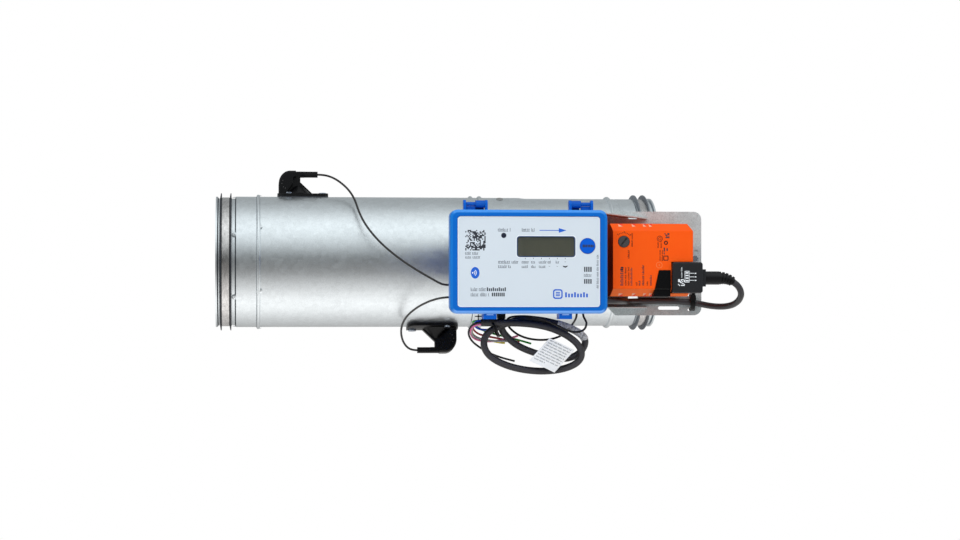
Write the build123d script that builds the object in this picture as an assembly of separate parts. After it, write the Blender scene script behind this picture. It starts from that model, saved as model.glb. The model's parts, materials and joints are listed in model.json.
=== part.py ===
from build123d import *
import math
import os

# Airflow control damper for a round duct, in millimetres.
# X runs along the duct with the air, Z is up and the controller faces -Y.
# The origin is on the duct axis, at the inlet end.
# A depth is a distance in front of the duct axis, towards the viewer.

os.makedirs("parts", exist_ok=True)

# Ducts and the two steel tubes
duct_diameter = 125.0
spigot_play = 0.4
steel = 0.6
spigot_radius = (duct_diameter - spigot_play) / 2
body_step = 0.8
body_radius = spigot_radius + body_step
overall_length = 424.2
spigot_length = 38.0
socket_before_shaft = 89.0
socket_length = 38.5
socket_play = 0.15
socket_taper = 6.0
curl_width = 3.8
curl_height = 1.6
bead_height = 2.0
bead_width = 3.2
joint_bead_gap = 6.5
outlet_bead_from_end = 42.7

# Rubber lip gaskets and the straps that hold them
rim_width = 1.6
rim_height = 0.7
seat_depth = 1.1
seat_length = 16.6
seat_slope = 1.2
lip_spacing = 9.2
inlet_lip_inset = 4.8
outlet_lip_inset = 6.8
lip_height = 4.4
lip_foot = 1.8
lip_tip = 0.8
gasket_base = 0.7
strap_thickness = 0.35
strap_play = 0.3
strap_lap_half = 9.0

# Ultrasonic sensor pair
sensor_tilt = 9.0
sensor_at = 83.7
sensor_flange_length = 49.2
sensor_flange_width = 32.0
sensor_flange_corner = 8.0
sensor_flange_height = 2.6
sensor_gasket = 0.9
sensor_height = 26.3
sensor_width = 15.0
sensor_back = 23.4
sensor_crown = 11.1
sensor_crown_drop = 13.3
inner_edge = 9.6
inner_drop = 12.6
inner_foot = 16.8
arm_width = 6.4
arm_height = 5.6
arm_back = 12.0
cone_at = 3.8
cone_foot_radius = 13.0
cone_neck_radius = 3.4
cone_height = 9.6
transducer_radius = 7.0
transducer_length = 14.0
transducer_play = 0.4
boot_width = 5.5
boot_start = 2.0
boot_length = 12.6
boot_slots = 5
boot_slot_depth = 0.9
screw_radius = 2.0
screw_head_radius = 2.8
front_screw_head_radius = 3.8
front_screw_inset = 5.2
side_screws_behind = 13.5
side_screw_inset = 3.0

# Blade and shaft
shaft_from_outlet = 82.2
shaft_radius = 4.0
shaft_beyond_plate = 36.0
shaft_beyond_tube = 4.9
running_play = 0.05
blade_gap = 1.3
blade_sheet = 1.0
blade_rivet_spacing = (56.0, 52.0)
seal_overhang = 1.8
seal_thickness = 1.6
bush_radius = 7.0
bush_flange = 10.0
bush_depth = 3.9
bush_flange_thickness = 2.0
clamp_hub_radius = 12.5
clamp_shoe = (5.4, 21.0)
clamp_shoe_offset = 7.8
clamp_rod = 1.5
clamp_rod_reach = 13.4
clamp_nut = (2.9, 2.0)

# Mounting plate with its side flanges
plate_off_tube = 13.9
plate_thickness = 1.2
plate_before_box = 26.1
plate_beyond_actuator = 20.4
plate_top = 47.3
plate_bottom = -51.5
plate_shoulder_at = 36.0
plate_shoulder_drop = 7.2
plate_upper_drop = 3.0
plate_corner = 7.5
flange_past_box = 5.9
flange_taper = 46.0
flange_half_gap = 43.4
flange_lean = 3.4
flange_tip_height = 3.0
slot_ends = 66.2
upper_slot = (41.0, 8.6, 1.8)
lower_slot = (-34.6, 9.6, 2.7)
long_slot = (-44.6, 20.6, 3.2)
long_slot_from_end = 31.6
tie_from_end = 9.8
tie_slot_top = -32.2
tie_slot_bottom = -46.2
tie_width = 4.6
tie_thickness = 1.0
saddle_before_shaft = 32.0
saddle_after_shaft = 26.0
saddle_width = 14.0
saddle_half = 27.0
saddle_foot = 11.0
saddle_rivet_inset = 7.0
rivet_radius = 1.6
rivet_head = 3.2
rivet_dome = 1.1
rivet_grip = 3.2
rivet_play = 0.1
joint_rivet_angles = (75, 180, 285)

# Controller box
shaft_inside_box = 14.1
box_width = 144.2
box_bottom = -49.3
box_height = 94.4
box_depth = 48.0
box_corner = 7.3
box_edge = 2.4
shelf_height = 41.0
lid_depth = 13.7
lid_gap = 0.3
base_inset = 5.6
base_wall = 2.4
base_corner = 4.5
base_rim = 3.0
frame_band = 7.0
frame_band_trim = 0.9
frame_rise = 1.0
panel_thickness = 0.8
panel_play = 0.25
panel_corner = 2.8
lid_wall = 2.0
shelf_inset_left = 20.1
shelf_inset_right = 38.1
shelf_fold = 14.0
shelf_fold_inset = 6.0
hinge_behind_front = 8.0
hinge_rise = 5.3
hinge_inset = 12.7
ear_thickness = 2.3
ear_radius = 3.65
pin_radius = 1.8
pin_bare = 8.8
knuckle_radius = 3.3
knuckle_length = 8.6
latch_offset = 34.6
latch_shift = 0.8
latch_width = 11.8
latch_drop = 4.9
latch_leg = 1.8
latch_back = 20.0
latch_front = 3.0
catch_length = 8.6
box_screw_inset = 14.0
box_screw_low = 18.3
box_screw_high = 18.1
box_screw_radius = 1.9
box_screw_head = 3.5

# Circuit board, terminals and cable entries
board_margin = (15.1, 14.2)
board_lift = 8.0
board_thickness = 1.6
board_corner = 2.0
standoff_inset = (20.1, 19.3, 17.1)
standoff_radius = 3.0
terminal_count = 4
terminal_size = (22.0, 9.0, 9.0)
terminal_low = 16.3
terminal_inset = 20.1
terminal_pole_pitch = 5.5
terminal_screw_radius = 1.7
side_gland_lift = 9.0
side_gland_radius = 2.6
left_gland_heights = (26.3, 15.0)
power_gland_height = 12.1
power_gland_radius = 3.4
power_gland_lift = 6.0
signal_glands_from_right = (23.8, 18.0)
signal_gland_radius = 1.7
bottom_gland_lift = 16.0
supply_gland_from_left = 51.1
supply_gland_lift = 7.5
gland_radius = 4.7
gland_drop = 10.7

# Things on the front panel, from the photograph's places
window_from_right = 83.1
window_width = 53.2
window_above_bottom = 51.6
window_height = 18.6
window_corner = 2.7
lens_from_right = 95.2
lens_above_bottom = 71.0
lens_radius = 2.3
mode_from_right = 18.5
mode_above_bottom = 61.6
mode_radius = 7.0
mode_flange = 8.5
mode_hole_play = 0.3
display_board = (58.0, 30.0)
display_glass = (54.0, 21.0)
display_face = (51.2, 16.8)

# Actuator
actuator_before_shaft = 17.4
actuator_length = 116.0
actuator_top = 34.0
actuator_bottom = -33.5
actuator_height = 61.0
actuator_foot = 6.0
clamp_end_height = 27.0
tall_past_box = 5.4
tall_slope = 4.0
bevel_height = 7.0
bevel_depth = 10.0
end_bevel = 4.0
end_round = 6.0
notch_places = ((12.3, 4.0), (24.6, 3.4), (34.9, 3.0), (40.4, 3.0))
notch_sink = 1.4
notch_back = 35.0
notch_front = 50.0
knob_past_slope = 10.2
knob_height = 17.0
knob_radius = 5.2
knob_stem = 2.0
knob_depth = 3.7
knob_play = 0.35
knob_slot = (8.6, 1.5)
release_top = -9.6
release_bottom = -34.8
release_step = -26.4
release_upper = (11.7, 1.2)
release_lower = (17.6, 0.9)
release_depth = 12.0
release_play = 0.35
release_stroke = 2.0
tab_gap = 5.9
tab_foot = 13.9
tab_bottom = -1.0
tab_height = 15.0
tab_grip = 5.0
tab_lift = 21.0
tab_screw_past = 13.8
tab_screw_height = 2.6
tab_screw_radius = 1.9
tab_slot = (9.5, 7.0, 2.2)
hex_radius = 3.2
hex_height = 2.2

# Plug, boot and cable sizes
plug_inset = 20.1
plug_size = 28.6
plug_top = -1.8
plug_sunk = 18.0
plug_proud = 4.0
plug_corner = 2.4
plug_edge = 1.2
collar_length = 3.2
collar_half = 8.0
boot_neck = 14.0
boot_neck_radius = 6.2
boot_ribs = 5
boot_pitch = 2.9
boot_droop = 8.0
boot_axis_z = -16.4
boot_axis_lift = 11.5
power_cable = 6.0
supply_cable = 6.5
sensor_cable = 2.0
wire = 1.3

# Supply cable wound below the controller
coil_centre = (293.6, -80.0)
coil_half_width = 50.0
coil_half_height = 25.0
coil_band = 10.5
coil_back = 120.5
coil_thickness = 16.0
coil_tie_at = 255.8
coil_tie_width = 2.5
tag_corners = [(306.5, -71.8), (329.8, -83.0), (311.7, -101.4), (287.6, -92.4)]
tag_thickness = 0.5

# Places that follow from the sizes above
shaft_at = overall_length - shaft_from_outlet
socket_start = shaft_at - socket_before_shaft
male_end = socket_start + socket_length
plate_front = body_radius + plate_off_tube
plate_back = plate_front - plate_thickness
shaft_front = plate_front + shaft_beyond_plate
shaft_rear = body_radius + shaft_beyond_tube
bush_inner_depth = spigot_radius - bush_depth
box_right = shaft_at + shaft_inside_box
box_left = box_right - box_width
box_top = box_bottom + box_height
box_middle = box_left + box_width / 2
box_centre_z = box_bottom + box_height / 2
box_back = plate_front + shelf_height
box_front = box_back + box_depth
lid_back = box_front - lid_depth
panel_back = box_front - frame_rise - panel_thickness
hinge_depth = box_front - hinge_behind_front
hinge_height = box_top + hinge_rise
shelf_left = box_left + shelf_inset_left
shelf_right = box_right - shelf_inset_right
board_depth = box_back + board_lift
side_gland_depth = box_back + side_gland_lift
power_gland_depth = box_back + power_gland_lift
bottom_gland_depth = box_back + bottom_gland_lift
supply_gland_depth = box_back + supply_gland_lift
gland_at = box_left + supply_gland_from_left
signal_gland_places = [box_right - inset for inset in signal_glands_from_right]
window_left = box_right - window_from_right
window_bottom = box_bottom + window_above_bottom
lens_at = (box_right - lens_from_right, box_bottom + lens_above_bottom)
mode_at = (box_right - mode_from_right, box_bottom + mode_above_bottom)
actuator_left = shaft_at - actuator_before_shaft
actuator_right = actuator_left + actuator_length
actuator_back = plate_front + actuator_foot
actuator_front = plate_front + actuator_height
clamp_end_front = plate_front + clamp_end_height
clamp_rod_depth = clamp_end_front + 4.5
tall_left = box_right + tall_past_box
tall_left_front = tall_left + tall_slope
knob_at = (tall_left_front + knob_past_slope, knob_height)
plate_left = box_left + plate_before_box
plate_right = actuator_right + plate_beyond_actuator
plate_shoulder = shaft_at + plate_shoulder_at
flange_straight_end = box_right + flange_past_box
tie_at = plate_right - tie_from_end
tab_left = actuator_right + tab_gap
tab_right = actuator_right + tab_gap + tab_foot
tab_top = tab_bottom + tab_height
tab_screw_at = (actuator_right + tab_screw_past, tab_screw_height)
plug_left = actuator_right - plug_inset
plug_right = plug_left + plug_size
plug_back = actuator_front - plug_sunk
plug_front = actuator_front + plug_proud
boot_axis_depth = plug_back + boot_axis_lift
rim_radius = spigot_radius + rim_height
seat_radius = spigot_radius - seat_depth
flange_base = body_radius + 0.02 + sensor_gasket
flange_top = flange_base + sensor_flange_height
sensor_top = body_radius + sensor_height


def front_plane(depth):
    """The plane that faces the viewer at a depth, with local x along the duct and local y up."""
    return Plane(origin=(0, -depth, 0), x_dir=(1, 0, 0), z_dir=(0, -1, 0))


def slab(sketch, back, front):
    """A sketch in the front plane, made solid from one depth to a nearer one."""
    return extrude(front_plane(back) * sketch, front - back)


def round_slab(x, z, radius, back, front):
    return slab(Pos(x, z) * Circle(radius), back, front)


def block(left, right, back, front, bottom, top):
    """A plain block between two places along the duct, two depths and two heights."""
    box = Box(right - left, front - back, top - bottom)
    return Pos((left + right) / 2, -(front + back) / 2, (top + bottom) / 2) * box


def bar_along_duct(left, right, depth, z, radius):
    rod = Rot(0, 90, 0) * Cylinder(radius, right - left)
    return Pos((left + right) / 2, -depth, z) * rod


def upright(x, depth, bottom, top, radius):
    return Pos(x, -depth, (bottom + top) / 2) * Cylinder(radius, top - bottom)


def save(node, *shapes):
    """Write one node; several solids stay separate in it."""
    solids = [solid for shape in shapes for solid in shape.solids()]
    export_step(solids[0] if len(solids) == 1 else Compound(solids), f"parts/{node}.step")


def wall_line(start, runs, drop):
    """One side of a rolled sheet: straight runs to a point, and beads as a crest and an end."""
    edges = []
    here = (start[0], start[1] - drop)
    for run in runs:
        if isinstance(run[0], tuple):
            crest, there = [(x, radius - drop) for x, radius in run]
            edges.append(ThreePointArc(here, crest, there))
        else:
            there = (run[0], run[1] - drop)
            edges.append(Line(here, there))
        here = there
    return edges, here


def rolled_tube(start, runs):
    """A thin tube about the duct axis, with the same beads inside and outside."""
    outer, outer_end = wall_line(start, runs, 0)
    inner, inner_end = wall_line(start, runs, steel)
    ends = [Line((start[0], start[1] - steel), start), Line(outer_end, inner_end)]
    return revolve(make_face(outer + inner + ends), Axis.X)


def bead(middle, radius, width=bead_width, height=bead_height):
    """A bead rolled outwards, as its crest and its end."""
    return ((middle, radius + height), (middle + width / 2, radius))


def ring(points):
    """A ring about the duct axis from a closed outline of place and radius."""
    return revolve(make_face(Polyline(*points, close=True)), Axis.X)


def tube_skin(inner, outer, left, right):
    """A sleeve about the duct axis."""
    return ring([(left, inner), (right, inner), (right, outer), (left, outer)])


# Measuring tube and damper tube
def gasket_seat(end, inward):
    """Rim, slope and sunk seat of a spigot, from its end inwards."""
    return [
        (end + inward * rim_width, rim_radius),
        (end + inward * (rim_width + seat_slope), seat_radius),
        (end + inward * (rim_width + seat_length), seat_radius),
    ]


def shaft_hole(radius):
    reach = spigot_radius + bush_flange
    return slab(Pos(shaft_at, 0) * Circle(radius), -reach, reach)


def measuring_tube():
    bead_start = spigot_length + 1.0
    joint_bead = socket_start - joint_bead_gap
    runs = gasket_seat(0, 1) + [
        (rim_width + seat_length + seat_slope, body_radius),
        (bead_start, body_radius),
        bead(bead_start + bead_width / 2, body_radius),
        (joint_bead - bead_width / 2, body_radius),
        bead(joint_bead, body_radius, height=bead_height * 0.8),
        (socket_start - 1.5, body_radius),
        (socket_start, spigot_radius),
        (male_end, spigot_radius),
    ]
    tube = rolled_tube((0, rim_radius), runs)
    for place in (sensor_at, sensor_at + duct_diameter):
        frame = sensor_frame(place)
        tube -= frame * transducer_bore(transducer_radius + transducer_play)
        tube -= [frame * hole for hole in sensor_screw_holes()]
    return tube


def damper_tube():
    socket_radius = spigot_radius + socket_play + steel
    socket_end = male_end + 2.5
    outlet_bead = overall_length - outlet_bead_from_end
    crease = outlet_bead + bead_width / 2 + 6.0
    seat_start = overall_length - rim_width - seat_length
    runs = [
        bead(socket_start + 0.4 + curl_width / 2, socket_radius, width=curl_width, height=curl_height),
        (socket_end, socket_radius),
        (socket_end + socket_taper, spigot_radius),
        (outlet_bead - bead_width / 2, spigot_radius),
        bead(outlet_bead, spigot_radius, height=bead_height * 1.15),
        (crease - 1.0, spigot_radius),
        ((crease, spigot_radius - 0.5), (crease + 1.0, spigot_radius)),
        (seat_start - seat_slope, spigot_radius),
        (seat_start, seat_radius),
    ]
    runs += reversed(gasket_seat(overall_length, -1)[:2])
    runs += [(overall_length, rim_radius)]
    tube = rolled_tube((socket_start + 0.4, socket_radius), runs)
    return tube - shaft_hole(bush_radius + 0.1)


def lip_gasket(end, inward, inset):
    """Rubber band in the spigot's seat, with two lips that lean away from the duct's mouth."""
    foot = seat_radius + 0.02
    base = foot + gasket_base
    first = end + inward * inset
    second = first + inward * lip_spacing
    start = first - inward * (lip_foot / 2 + 0.2)
    stop = second + inward * (lip_foot / 2 + 0.2)
    points = [(start, foot), (start, base)]
    for middle in (first, second):
        tip = base + lip_height
        points += [
            (middle - inward * lip_foot / 2, base),
            (middle - inward * (lip_tip / 2 - 0.3), tip),
            (middle + inward * (lip_tip / 2 + 0.3), tip),
            (middle + inward * lip_foot / 2, base),
        ]
    points += [(stop, base), (stop, foot)]
    return ring(points)


def gasket_strap(end, inward, inset):
    """Steel strap between the lips, with its short overlap at the back."""
    left = end + inward * (inset + lip_foot / 2 + strap_play)
    right = end + inward * (inset + lip_spacing - lip_foot / 2 - strap_play)
    inner = seat_radius + 0.02 + gasket_base + 0.02
    outer = inner + strap_thickness
    strap = tube_skin(inner, outer, min(left, right), max(left, right))
    lap = tube_skin(outer, outer + strap_thickness, min(left, right), max(left, right))
    half = strap_lap_half
    lap &= block(min(left, right), max(left, right), -outer - 2, 0, -half, half)
    return strap + lap


# Sensors
def sensor_frame(place):
    """The place of a sensor: the first on the top of the tube, the second turned over below it."""
    turned_over = Rot(0, 180, 0) if place > sensor_at + 1 else Rot(0, 0, 0)
    return Rot(-sensor_tilt, 0, 0) * Pos(place, 0, 0) * turned_over


def transducer_axis(along):
    """A place on the ultrasonic path, which crosses the tube at 45 degrees."""
    return Pos(along, 0, body_radius - along) * Rot(0, 135, 0)


def transducer_bore(radius):
    return transducer_axis(0) * Cylinder(radius, 40)


def saddle_outline():
    size = (sensor_flange_length, sensor_flange_width)
    return extrude(RectangleRounded(*size, sensor_flange_corner), 2 * body_radius)


def sensor_seal():
    inner = body_radius + 0.02
    half = sensor_flange_length
    pad = tube_skin(inner, inner + sensor_gasket, -half, half) & saddle_outline()
    return pad - transducer_bore(transducer_radius + transducer_play) - sensor_screw_holes()


def sensor_housing():
    """Hooked shell: a curved flange, a tall rounded back with a cable arm, and a cone under it."""
    base = flange_base + 0.02
    half = sensor_flange_length
    flange = tube_skin(base, flange_top, -half, half) & saddle_outline()
    nose = flange_top - 1.0
    back = make_face(
        [
            Line((-sensor_back, nose), (-sensor_back, sensor_top - sensor_crown_drop)),
            EllipticalCenterArc(
                (-sensor_back + sensor_crown, sensor_top - sensor_crown_drop),
                sensor_crown,
                sensor_crown_drop,
                start_angle=90,
                arc_size=90,
            ),
            Line((-sensor_back + sensor_crown, sensor_top), (-inner_edge + 3, sensor_top)),
            Line((-inner_edge + 3, sensor_top), (-inner_edge + 3, sensor_top - arm_height)),
            ThreePointArc(
                (-inner_edge + 3, sensor_top - arm_height),
                (-inner_edge + 0.9, sensor_top - arm_height - 1.2),
                (-inner_edge, sensor_top - arm_height - 3.4),
            ),
            Line((-inner_edge, sensor_top - arm_height - 3.4), (-inner_edge, sensor_top - inner_drop)),
            Line((-inner_edge, sensor_top - inner_drop), (-inner_foot, nose)),
            Line((-inner_foot, nose), (-sensor_back, nose)),
        ]
    )
    hook = extrude(Plane.XZ * back, sensor_width / 2, both=True)
    hook = fillet(hook.edges().group_by(Axis.Z)[-1].filter_by(Axis.X), 2.0)
    cone = Pos(-cone_at, 0, nose + cone_height / 2) * Cone(
        cone_foot_radius + 0.5, cone_neck_radius + 0.5, cone_height
    )
    neck_top = sensor_top - 1.5
    neck_start = nose + cone_height - 2
    neck = Pos(-cone_at - 2.6, 0, (neck_start + neck_top) / 2) * Box(
        2 * cone_neck_radius + 1.4, 2 * cone_neck_radius, neck_top - neck_start
    )
    arm = block(
        -arm_back, boot_start, -arm_width / 2, arm_width / 2, sensor_top - arm_height, sensor_top
    )
    arm = fillet(arm.edges().filter_by(Axis.X), 1.8)
    shell = flange + hook + neck + arm + cone
    shell -= bar_along_duct(-half, half, 0, 0, base)
    shell -= transducer_axis(2.4) * Cylinder(transducer_radius + transducer_play, 22)
    return shell - sensor_screw_holes()


def transducer():
    """Sound head: a stepped cylinder whose face looks across the tube at 45 degrees."""
    body = transducer_axis(0) * Cylinder(transducer_radius, transducer_length)
    face = Pos(0, 0, transducer_length / 2 + 0.6) * Cylinder(transducer_radius - 1.2, 1.2)
    return body + transducer_axis(0) * face


def sensor_boot():
    """Flat-sided bending guard at the arm's end, with a row of slots in each long side."""
    middle = sensor_top - boot_width / 2
    left = boot_start + 0.02
    right = boot_start + boot_length
    half = boot_width / 2
    core = block(left, right, -half, half, middle - half, middle + half)
    core = fillet(core.edges().filter_by(Axis.X), 1.6)
    pitch = boot_length / (boot_slots + 0.6)
    for slot in range(boot_slots):
        x = left + 1.0 + slot * pitch
        for side in (-1, 1):
            near = side * (half - boot_slot_depth)
            far = side * (half + 1)
            for low in (middle - 1.9, middle + 0.5):
                core -= block(x, x + pitch * 0.45, min(near, far), max(near, far), low, low + 1.5)
    return core


def sensor_screw_places():
    """One screw before the cone and one on each side of the back, all square to the tube."""
    lean = math.degrees(math.asin((sensor_flange_width / 2 - side_screw_inset) / body_radius))
    front = Pos(sensor_flange_length / 2 - front_screw_inset, 0, 0)
    return [front] + [Rot(side * lean, 0, 0) * Pos(-side_screws_behind, 0, 0) for side in (-1, 1)]


def sensor_screw_holes():
    hole = Pos(0, 0, body_radius) * Cylinder(screw_radius + 0.1, 14)
    return [place * hole for place in sensor_screw_places()]


def sensor_fixings():
    """Pan-head screws through the flange of a sensor; the front one has a wide washer head."""
    shank = Pos(0, 0, flange_top - 2.4) * Cylinder(screw_radius, 5.2)
    screws = []
    for number, place in enumerate(sensor_screw_places()):
        radius = screw_head_radius if number else front_screw_head_radius
        head = Pos(0, 0, flange_top + 0.62 + (0 if number else 0.15)) * Cylinder(radius, 1.2)
        screws.append(place * (shank + head))
    return screws


# Blade, shaft and bushes
def blade_sheet_disc(side):
    """Pressed disc of the blade, with the half-round channel that clasps the shaft."""
    radius = spigot_radius - steel - blade_gap - seal_overhang
    low = seal_thickness / 2
    disc = Pos(0, 0, side * (low + blade_sheet / 2)) * Cylinder(radius, blade_sheet)
    channel = Rot(90, 0, 0) * Cylinder(shaft_radius + 0.05 + blade_sheet, 2 * radius - 4)
    half = Pos(0, 0, side * (low + 10)) * Box(30, 2 * radius, 20)
    disc += channel & half
    disc -= Rot(90, 0, 0) * Cylinder(shaft_radius + 0.05, 2 * radius)
    disc = Pos(shaft_at, 0, 0) * disc
    return disc - shaft_clearance() - blade_rivet_holes()


def shaft_clearance():
    """What is cut from the blade so that it clears the two bushes."""
    cut = bush_radius + 1.6
    inner = bush_inner_depth - 0.6
    outer = body_radius + 5
    front = round_slab(shaft_at, 0, cut, inner, outer)
    return front + round_slab(shaft_at, 0, cut, -outer, -inner)


def blade_rivet_places():
    half_x, half_y = [spacing / 2 for spacing in blade_rivet_spacing]
    return [Pos(shaft_at + x, y, 0) for x in (-half_x, half_x) for y in (-half_y, half_y)]


def blade_rivet_holes():
    return [place * Cylinder(rivet_radius + 0.1, 12) for place in blade_rivet_places()]


def blade_seal():
    """Rubber disc between the sheets, cut round the shaft, whose edge closes on the tube."""
    radius = spigot_radius - steel - blade_gap
    seal = Pos(shaft_at, 0, 0) * Cylinder(radius, seal_thickness)
    seal -= block(
        shaft_at - shaft_radius - 0.4, shaft_at + shaft_radius + 0.4, -radius, radius, -2, 2
    )
    return seal - shaft_clearance() - blade_rivet_holes()


def blade_rivets():
    stack = seal_thickness / 2 + blade_sheet + 0.02
    rivet = Cylinder(rivet_radius, 2 * stack + 0.2)
    for side in (-1, 1):
        rivet += Pos(0, 0, side * (stack + rivet_dome / 2)) * Cylinder(rivet_head, rivet_dome)
    return [place * rivet for place in blade_rivet_places()]


def blade_shaft():
    """Round bar through both bushes, with a flat at the clamp and a slot in its end."""
    shaft = slab(Pos(shaft_at, 0) * Circle(shaft_radius), -shaft_rear, shaft_front)
    shaft = chamfer(shaft.edges().group_by(Axis.Y)[0], 0.6)
    slot = block(shaft_at - 5, shaft_at + 5, shaft_front - 1.5, shaft_front + 1, -0.7, 0.7)
    return shaft - slot


def shaft_bush(side):
    """Flanged plastic bush in the tube wall; the front and rear ones are alike."""
    wall = spigot_radius + 0.15
    sleeve = Circle(bush_radius) - Circle(shaft_radius + running_play)
    collar = Circle(bush_flange) - Circle(shaft_radius + running_play)
    bush = slab(Pos(shaft_at, 0) * sleeve, bush_inner_depth, wall + 0.5)
    bush += slab(Pos(shaft_at, 0) * collar, wall, wall + bush_flange_thickness)
    return bush if side > 0 else mirror(bush, Plane.XZ)


# Plate, saddles and shelf
def plate_outline():
    low_left = plate_bottom + plate_shoulder_drop
    high_left = plate_top - plate_upper_drop
    slope = plate_shoulder - plate_shoulder_drop
    points = [
        (plate_left, low_left),
        (slope, low_left),
        (plate_shoulder, plate_bottom),
        (plate_right, plate_bottom),
        (plate_right, plate_top),
        (plate_shoulder, plate_top),
        (slope, high_left),
        (plate_left, high_left),
    ]
    outline = make_face(Polyline(*points, close=True))
    corners = outline.vertices().group_by(Axis.X)[-1]
    return fillet(corners, plate_corner)


def side_flange(side):
    """Upstanding flange of the plate: straight beside the box, then tapering down.

    The upper one leans in over its taper; the lower one stays clear of the actuator cable.
    """
    inner = flange_half_gap
    straight = block(
        shelf_left, flange_straight_end, plate_back + 0.2, box_back, inner, inner + plate_thickness
    )
    length = flange_taper
    taper = make_face(
        Polyline(
            (0, plate_back + 0.2),
            (length, plate_back + 0.2),
            (length, plate_front + flange_tip_height),
            (0, box_back),
            close=True,
        )
    )
    wall = extrude(Plane(origin=(0, 0, 0), x_dir=(1, 0, 0), z_dir=(0, 0, 1)) * taper, plate_thickness)
    wall = mirror(wall, Plane.XZ)
    lean = math.degrees(math.atan2(flange_lean, length)) if side > 0 else 0
    wall = Pos(flange_straight_end - 0.05, 0, inner) * Rot(0, lean, 0) * wall
    flange = straight + wall
    return flange if side > 0 else mirror(flange, Plane.XY)


def mounting_plate():
    plate = slab(plate_outline(), plate_back, plate_front)
    for side in (-1, 1):
        plate += side_flange(side)
    slots = [
        (plate_right - slot_ends, *upper_slot),
        (plate_right - slot_ends, *lower_slot),
        (plate_right - long_slot_from_end, *long_slot),
        (tie_at, tie_slot_top, tie_width + 2.6, tie_thickness + 1.4),
        (tie_at, tie_slot_bottom, tie_width + 2.6, tie_thickness + 1.4),
    ]
    for x, z, width, height in slots:
        plate -= slab(Pos(x, z) * SlotOverall(width, height), plate_back - 1, plate_front + 1)
    plate -= round_slab(shaft_at, 0, 2 * shaft_radius, plate_back - 1, plate_front + 1)
    for x, z in saddle_rivet_places():
        plate -= round_slab(x, z, rivet_radius + rivet_play, plate_back - 1, plate_front + 1)
    x, z = tab_screw_at
    return plate - round_slab(x, z, tab_screw_radius + rivet_play, plate_back - 1, plate_front + 1)


def saddle_centres():
    return (shaft_at - saddle_before_shaft, shaft_at + saddle_after_shaft)


def saddle_rivet_places():
    reach = saddle_half - saddle_rivet_inset
    return [(x, z) for x in saddle_centres() for z in (-reach, reach)]


def saddle(x):
    """Hat bracket that stands the plate off the tube, its feet bent to the tube's curve."""
    left = x - saddle_width / 2
    right = x + saddle_width / 2
    half = saddle_half
    tube = spigot_radius + 0.05
    web = block(left, right, plate_back - plate_thickness, plate_back, -half, half)
    low = tube / 2
    legs = block(left, right, low, plate_back, half - plate_thickness, half)
    feet = tube_skin(tube, tube + plate_thickness, left, right)
    feet &= block(left, right, low, plate_front, half - plate_thickness, half + saddle_foot)
    one_side = legs - bar_along_duct(left - 1, right + 1, 0, 0, tube) + feet
    hat = web + one_side + mirror(one_side, Plane.XY)
    for place_x, z in saddle_rivet_places():
        radius = rivet_radius + rivet_play
        hat -= round_slab(place_x, z, radius, plate_back - 10, plate_front)
    return hat


def foot_rivet_places():
    """Angles of the rivets about the duct axis, through the saddle feet."""
    angle = math.degrees(math.asin((saddle_half + saddle_foot / 2) / spigot_radius))
    return [(x, side * angle) for x in saddle_centres() for side in (-1, 1)]


def tube_rivet(x, angle, seat):
    """A rivet that points at the duct axis, with its head on a skin of the given radius."""
    shank = Pos(0, 0, seat - rivet_grip / 2) * Cylinder(rivet_radius, rivet_grip)
    head = Pos(0, 0, seat + 0.05 + rivet_dome / 2) * Cylinder(rivet_head, rivet_dome)
    head = fillet(head.edges().group_by(Axis.Z)[-1], rivet_dome * 0.7)
    return Pos(x, 0, 0) * Rot(90 - angle, 0, 0) * (shank + head)


def tube_rivet_hole(x, angle):
    hole = Pos(0, 0, spigot_radius) * Cylinder(rivet_radius + rivet_play, 4 * rivet_grip)
    return Pos(x, 0, 0) * Rot(90 - angle, 0, 0) * hole


def joint_rivet_places():
    middle = socket_start + socket_length * 0.55
    return [(middle, angle) for angle in joint_rivet_angles]


def controller_shelf():
    """Folded shelf between the plate's flanges, which carries the controller box."""
    half = flange_half_gap - 0.1
    shelf = block(shelf_left, shelf_right, box_back - plate_thickness, box_back, -half, half)
    for side in (-1, 1):
        edge = side * half
        inner = side * (half - plate_thickness)
        left = shelf_left + shelf_fold_inset
        right = shelf_right - shelf_fold_inset
        low, high = min(edge, inner), max(edge, inner)
        shelf += block(left, right, box_back - shelf_fold, box_back, low, high)
    for x, z in box_screw_places():
        shelf -= round_slab(x, z, box_screw_radius + 0.1, box_back - 5, box_back + 5)
    return shelf


def box_screw_places():
    sides = (shelf_left + box_screw_inset, shelf_right - box_screw_inset)
    return [(x, z) for x in sides for z in (box_bottom + box_screw_low, box_top - box_screw_high)]



# Controller base
def base_outline(inset):
    width = box_width - 2 * base_inset - 2 * inset
    height = box_height - 2 * base_inset - 2 * inset
    corner = max(base_corner - inset, 1.5)
    return Pos(box_middle, box_centre_z) * RectangleRounded(width, height, corner)


def hinge_sides():
    return ((box_left + hinge_inset, 1), (box_right - hinge_inset, -1))


def latch_middles():
    middle = box_middle - latch_shift
    return (middle - latch_offset, middle + latch_offset)


def standoff_places():
    side, low, high = standoff_inset
    sides = (box_left + side, box_right - side)
    return [(x, z) for x in sides for z in (box_bottom + low, box_top - high)]


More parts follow.
